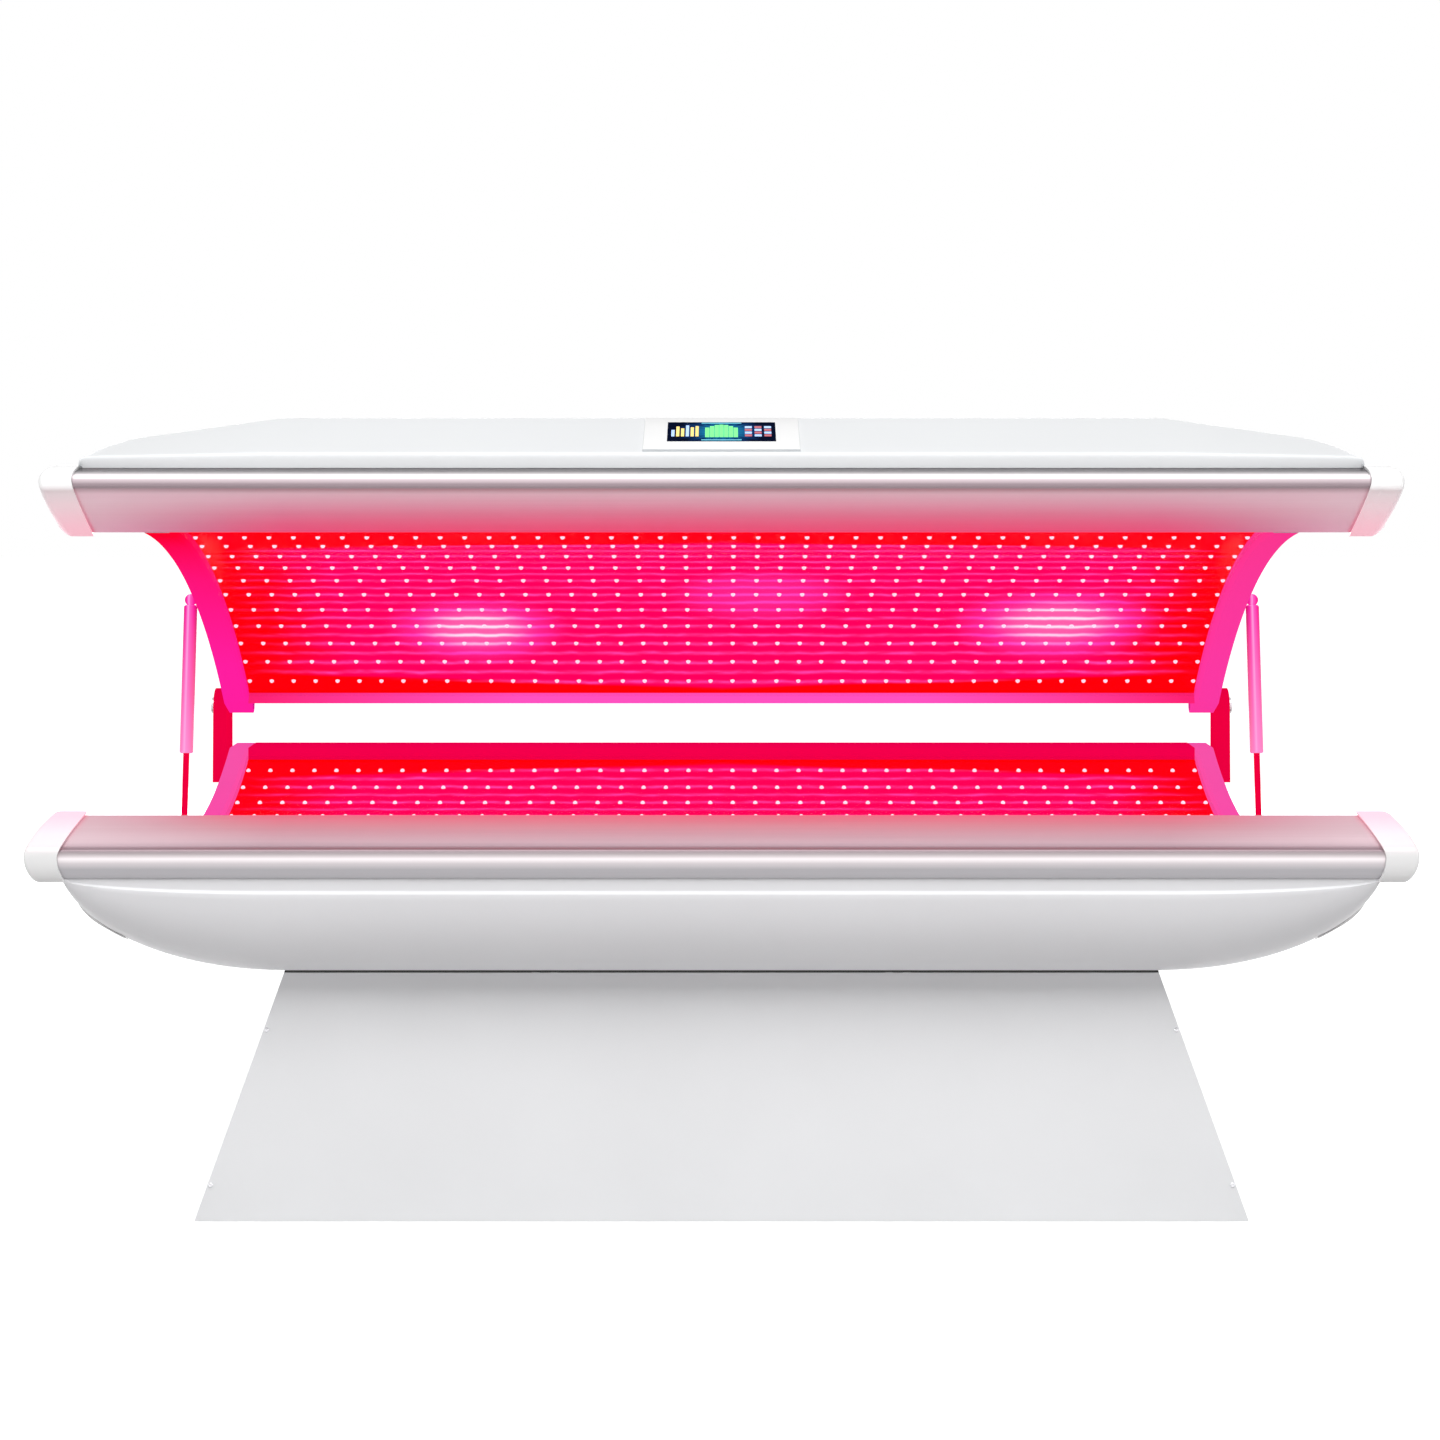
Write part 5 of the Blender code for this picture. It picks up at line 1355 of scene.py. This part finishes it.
def control_panel(plate_finish, edge_shade_finish, glass_finish):
    """Housing, a thin grey strip under its plate's front edge that stands in for the shade there, and the
    screen.
    """
    plate = control_slab(CONTROL_WIDTH, CONTROL_LENGTH, 0.0, -CONTROL_THICK, 0.0, CONTROL_ROUNDING)
    add("control_housing_skin", plate, "canopy", plate_finish, ["control_panel_housing"])
    # Painted shade: a grey strip along the plate's front edge
    shift = -CONTROL_LENGTH / 2 - GAP - EDGE_SHADE_RUN / 2
    edge_shade_strip = control_slab(CONTROL_WIDTH, EDGE_SHADE_RUN, shift, -CONTROL_PROUD - GAP, -GAP, GAP / 2)
    add("control_edge_shade", edge_shade_strip, "canopy", edge_shade_finish)
    rounding = SCREEN_PROUD / 2
    glass = control_slab(SCREEN_WIDTH, SCREEN_LENGTH, SCREEN_OFFSET, -SCREEN_THICK, SCREEN_PROUD, rounding)
    unwrap(glass, screen_uv)
    skin("control_screen", glass, "canopy", glass_finish)


def screen_marks(glass_top, colours):
    """Lamps of a plain touch screen: a row of green columns between level bars and a block of keys."""
    top = glass_top + MARK_THICK

    def mark(name, colour, plates):
        bm = bmesh.new()
        for left, right, low, high in plates:
            slope_plate(bm, left, right, SCREEN_OFFSET + low, SCREEN_OFFSET + high, glass_top, top)
        add("screen_" + name, bm, "canopy", colours[colour])

    def columns(start, pitch, width, low, heights):
        plates = []
        for i, height in enumerate(heights):
            left = start + pitch * i
            plates.append((left, left + width, low, low + height))
        return plates

    greens = columns(GREEN_START, GREEN_PITCH, GREEN_WIDTH, GREEN_LOW, GREEN_HEIGHTS)
    mark("columns_green", "green", greens)
    bars = columns(BAR_START, BAR_PITCH, BAR_WIDTH, BAR_LOW, BAR_HEIGHTS)
    mark("bars_blue", "blue", bars[0::3])
    mark("bars_yellow", "yellow", bars[1::3] + bars[2::3])
    keys = []
    for row in range(KEY_ROWS):
        low = KEY_LOW + KEY_PITCH * row
        keys += columns(KEY_START, KEY_PITCH, KEY_SIDE, low, [KEY_SIDE] * KEY_COLUMNS)
    mark("keys_red", "red", keys[0::2])
    mark("keys_blue", "blue", keys[1::2])
    low_edge = (-EDGE_HALF, EDGE_HALF, -EDGE_AT - EDGE_WIDE, -EDGE_AT)
    high_edge = (-EDGE_HALF, EDGE_HALF, EDGE_AT, EDGE_AT + EDGE_WIDE)
    mark("edges", "cyan", [low_edge, high_edge])


# Finishes
SHELL_WHITE = moulding("shell_white", (0.80, 0.815, 0.83), 0.34, 420.0)
HULL_WHITE = moulding("hull_white", (0.80, 0.80, 0.82), 0.34, 420.0)
CAP_COLOUR = (0.86, 0.86, 0.86)
# The caps' white, with a painted pink cast of the lamps' light towards their edge
CAP_PAINTED_CAST = [(0.45, CAP_COLOUR), (0.75, (0.87, 0.74, 0.78)), (1.0, (0.84, 0.50, 0.60))]
CAP_WHITE = moulding("cap_white", CAP_COLOUR, 0.26, 500.0)
CAP_PAINTED_LAMPLIGHT = painted_lamplight_cap("cap_painted_lamplight", CAP_COLOUR, 0.26, 500.0, CAP_PAINTED_CAST, (1.0, 0.55, 0.64))
# Grey of the strip that stands in for the shade under the control plate's front edge
EDGE_SHADE_GREY = moulding("edge_shade_grey", (0.62, 0.65, 0.67), 0.40, 500.0)
PLATE_WHITE = moulding("control_white", (0.92, 0.92, 0.92), 0.30, 500.0)
PEDESTAL = powder_coat("pedestal_coat", (0.90, 0.905, 0.92))
# Bed rail, painted light: highlight on the bead, shade by the crease, the lamps' pink reflection at the
# edge
BED_RAIL_PAINTED_LIGHT = anodised("bed_rail_anodised_painted_light", [
    (0.08, (0.44, 0.43, 0.45)),
    (0.29, (0.40, 0.39, 0.41)),
    (0.345, (0.58, 0.54, 0.56)),
    (0.385, (0.88, 0.82, 0.84)),
    (0.42, (0.46, 0.40, 0.42)),
    (0.455, (0.25, 0.19, 0.21)),
    (0.51, (0.27, 0.19, 0.22)),
    (0.58, (0.44, 0.31, 0.35)),
    (0.80, (0.58, 0.32, 0.38)),
    (0.96, (0.68, 0.25, 0.36)),
])
# Canopy rail, painted light: shade by the seam and crease, highlight on the bead, the lamps' pink at the
# edge
CANOPY_RAIL_PAINTED_LIGHT = anodised("canopy_rail_anodised_painted_light", [
    (0.08, (0.44, 0.43, 0.44)),
    (0.18, (0.36, 0.35, 0.36)),
    (0.24, (0.20, 0.19, 0.20)),
    (0.30, (0.42, 0.40, 0.41)),
    (0.355, (0.82, 0.75, 0.77)),
    (0.39, (0.38, 0.32, 0.34)),
    (0.43, (0.17, 0.13, 0.145)),
    (0.475, (0.26, 0.20, 0.22)),
    (0.55, (0.63, 0.42, 0.485)),
    (0.74, (0.70, 0.285, 0.42)),
    (0.96, (0.82, 0.21, 0.47)),
])
TRAY = plain_metal("tray_metal", (0.62, 0.62, 0.64), 0.42)
STEEL = plain_metal("pin_steel", (0.60, 0.60, 0.62), 0.28)
# Painted highlight and shade round the strut: pale across its middle, deeper at its sides
STRUT_PAINTED_HIGHLIGHT = [
    (0.02, (0.60, 0.00, 0.14)),
    (0.25, (0.95, 0.02, 0.40)),
    (0.42, (1.00, 0.32, 0.70)),
    (0.52, (1.00, 0.10, 0.50)),
    (0.80, (0.95, 0.01, 0.32)),
    (0.98, (0.62, 0.00, 0.14)),
]
STRUT_PAINTED_LAMPLIGHT = lit_tube("strut_lit", STRUT_PAINTED_HIGHLIGHT, (1.0, 0.42, 0.72), 0.92)
# Pieces with the lamps' pink and red light painted on as colour and glow
HINGE_PAINTED_LAMPLIGHT = lit_plastic("hinge_lit", (0.85, 0.0, 0.04), (0.95, 0.0, 0.06), 0.7)
BED_PANEL_PAINTED_LAMPLIGHT = lit_plastic("bed_panel_lit", (0.90, 0.05, 0.40), (0.95, 0.10, 0.46), 0.75, (-1.0, 0.0, 1.0))
CANOPY_PANEL_PAINTED_LAMPLIGHT = lit_plastic(
    "canopy_panel_lit", (1.0, 0.0, 0.03), (1.0, 0.015, 0.40), 0.8, (-1.0, 0.0, -1.0),
    right=(0.95, 0.06, 0.42))
CANOPY_REAR_PAINTED_LAMPLIGHT = lit_plastic(
    "rear_rail_lit", (1.0, 0.10, 0.62), (1.0, 0.10, 0.62), 0.8, (0.0, -1.0, -1.0),
    ends=(0.95, 0.01, 0.16))
BED_REAR_PAINTED_LAMPLIGHT = lit_plastic("bed_rear_lit", (0.90, 0.0, 0.08), (0.85, 0.0, 0.08), 0.8, (0.0, -1.0, 1.0))
PURE_RED = (1.0, 0.0, 0.0)
FIELD_TRIM_PAINTED_LAMPLIGHT = lit_plastic("field_trim_lit", PURE_RED, PURE_RED, 0.8)
CLEAR = acrylic("clear_acrylic", (0.60, 0.01, 0.06))
# Patches of painted glare on the canopy's board
CANOPY_PAINTED_GLARE = [
    ((0.249, 0.745), (0.10, 0.16), 1.0),
    ((0.841, 0.715), (0.115, 0.18), 1.0),
    ((0.54, 0.58), (0.10, 0.15), 0.6),
]
BOARD_GLOW = 1.1
CANOPY_BOARD = lamp_board(
    "canopy_board", PURE_RED, (1.0, 0.0, 0.11), (1.0, 0.06, 0.44), CANOPY_PAINTED_GLARE, BOARD_GLOW)
BED_BOARD = lamp_board("bed_board", PURE_RED, (1.0, 0.0, 0.09), (1.0, 0.05, 0.40), [], BOARD_GLOW)
LAMP = glowing("lamp", (1.0, 0.66, 0.80), 1.2)
BLACK = black_plastic("black_plastic", (0.025, 0.025, 0.027), 0.45)
# Black rubber of the feet, also used for the dark strip that stands in for the shadow under the hull
FOOT_RUBBER_AND_SHADOW_STRIP = black_plastic("foot_rubber", (0.03, 0.03, 0.03), 0.7)
SCREEN_GLOW = [
    (0.00, (0.02, 0.30, 0.42)),
    (0.35, (0.01, 0.16, 0.36)),
    (0.60, (0.004, 0.03, 0.12)),
    (0.85, (0.001, 0.003, 0.015)),
]
GLASS = lit_glass("screen_glass", SCREEN_GLOW)
SCREEN_SHADES = {
    "blue": (0.32, 0.50, 0.90),
    "cyan": (0.10, 0.60, 0.75),
    "green": (0.09, 0.78, 0.16),
    "yellow": (0.80, 0.58, 0.12),
    "red": (0.36, 0.02, 0.05),
}
SCREEN_COLOURS = {name: glowing("screen_" + name, shade, 1.0) for name, shade in SCREEN_SHADES.items()}

# Bed
front_rail("bed", BED_RAIL, BED_SEAM_Z, 1, BED_RAIL_PAINTED_LIGHT)
hull(HULL_WHITE)
for label, side in SIDES:
    rail_cap("bed", label, side, BED_RAIL, BED_SEAM_Z, 1, CAP_PAINTED_LAMPLIGHT)
    end_cover(label, side, CAP_WHITE)
    bed_end_panel(label, side, BED_PANEL_PAINTED_LAMPLIGHT)
    strut(label, STRUT_PAINTED_LAMPLIGHT, HINGE_PAINTED_LAMPLIGHT)
light_field("bed", BED_ARC, BED_FIELD_FRONT, BED_REAR_FACE, CLEAR, BED_BOARD, FIELD_TRIM_PAINTED_LAMPLIGHT, LAMP)
base_front(PEDESTAL, STEEL, FOOT_RUBBER_AND_SHADOW_STRIP)
base_rear(BLACK, STEEL)

# Canopy
front_rail("canopy", CANOPY_RAIL, CANOPY_SEAM_Z, -1, CANOPY_RAIL_PAINTED_LIGHT)
dome(SHELL_WHITE)
for label, side in SIDES:
    rail_cap("canopy", label, side, CANOPY_RAIL, CANOPY_SEAM_Z, -1, CAP_PAINTED_LAMPLIGHT)
    canopy_end_panel(label, side, CANOPY_PANEL_PAINTED_LAMPLIGHT)
light_field("canopy", CANOPY_ARC, CANOPY_FIELD_FRONT, CANOPY_REAR_FACE, CLEAR, CANOPY_BOARD, FIELD_TRIM_PAINTED_LAMPLIGHT, LAMP)
canopy_rear_rail(CANOPY_REAR_PAINTED_LAMPLIGHT)
control_panel(PLATE_WHITE, EDGE_SHADE_GREY, GLASS)
screen_marks(SCREEN_PROUD, SCREEN_COLOURS)

# Nodes kept from the frame
KEPT = {
    "bed_rear_rail": BED_REAR_PAINTED_LAMPLIGHT,
    "base_rear_panel": PEDESTAL,
    "base_side_panel_": PEDESTAL,
    "base_floor_pan": TRAY,
    "bed_led_tray": TRAY,
    "canopy_led_tray": TRAY,
    "power_supply_": TRAY,
    "hinge_bracket_": HINGE_PAINTED_LAMPLIGHT,
    "hinge_pin_": STEEL,
    "strut_upper_stud_": STEEL,
    "strut_lower_stud_": STEEL,
    "fan_": BLACK,
    "mains_": BLACK,
    "levelling_foot_": FOOT_RUBBER_AND_SHADOW_STRIP,
}
for name, node in frame["nodes"].items():
    for start, finish in KEPT.items():
        if name.startswith(start):
            for slot in node.material_slots:
                slot.material = finish

# Floor, light and camera

def seen_or_reflected(tree):
    """1 for a ray from the camera, a mirror or a glass, else 0."""
    outputs = tree.node("LightPath", 0, {}).socket.node.outputs
    kinds = ("Is Camera Ray", "Is Glossy Ray", "Is Transmission Ray")
    camera, glossy, glass = [Value(tree, outputs[kind]) for kind in kinds]
    return tree.math("MAXIMUM", tree.math("MAXIMUM", camera, glossy), glass)


world = bpy.data.worlds.new("studio")
bpy.context.scene.world = world
world.use_nodes = True
sky = Tree(world.node_tree)
background = sky.nodes["Background"]
background.inputs["Color"].default_value = WHITE
sky.plug(background.inputs["Strength"], seen_or_reflected(sky) * (1.0 - AMBIENT) + AMBIENT)

floor_finish = Graph("floor_white", (FLOOR_GREY,) * 3, 0.9, Emission_Color=WHITE)
across, along, _ = floor_finish.split(floor_finish.coordinates())
past = floor_finish.math("SQRT", across * across + along * along) - FLOOR_NEAR
away = floor_finish.math("DIVIDE", past, FLOOR_FAR - FLOOR_NEAR, clamp=True)
lift = away * (1.0 - FLOOR_LIFT) + FLOOR_LIFT
floor_finish.feed("Emission Strength", lift * seen_or_reflected(floor_finish))
bm = bmesh.new()
corners = ((-1, -1), (1, -1), (1, 1), (-1, 1))
bm.faces.new([bm.verts.new((x * FLOOR_HALF, y * FLOOR_HALF, 0.0)) for x, y in corners])
mesh = bpy.data.meshes.new("floor")
bm.to_mesh(mesh)
bm.free()
mesh.materials.append(floor_finish.material)
floor = bpy.data.objects.new("floor", mesh)
bpy.context.scene.collection.objects.link(floor)

for name, place, target, size, power in LAMPS:
    data = bpy.data.lights.new(name, "AREA")
    data.shape = "RECTANGLE"
    data.size, data.size_y = size
    data.energy = power
    lamp = bpy.data.objects.new(name, data)
    lamp.location = place
    lamp.rotation_euler = (Vector(target) - Vector(place)).to_track_quat("-Z", "Y").to_euler()
    bpy.context.scene.collection.objects.link(lamp)

lens = bpy.data.cameras.new("photo_camera")
lens.sensor_width = SENSOR_MM
lens.lens = FOCAL_PIXELS / IMAGE_PIXELS * SENSOR_MM
lens.shift_x = (IMAGE_PIXELS / 2 - CENTRE_PIXEL) / IMAGE_PIXELS
lens.shift_y = (HORIZON_PIXEL - IMAGE_PIXELS / 2) / IMAGE_PIXELS
camera = bpy.data.objects.new("photo_camera", lens)
camera.location = (0.0, FRONT_Y - CAMERA_DISTANCE, CAMERA_Z)
camera.rotation_euler = (math.pi / 2, 0.0, 0.0)
bpy.context.scene.collection.objects.link(camera)
bpy.context.scene.camera = camera
bpy.context.scene.view_settings.view_transform = "Standard"

bpy.context.view_layer.update()
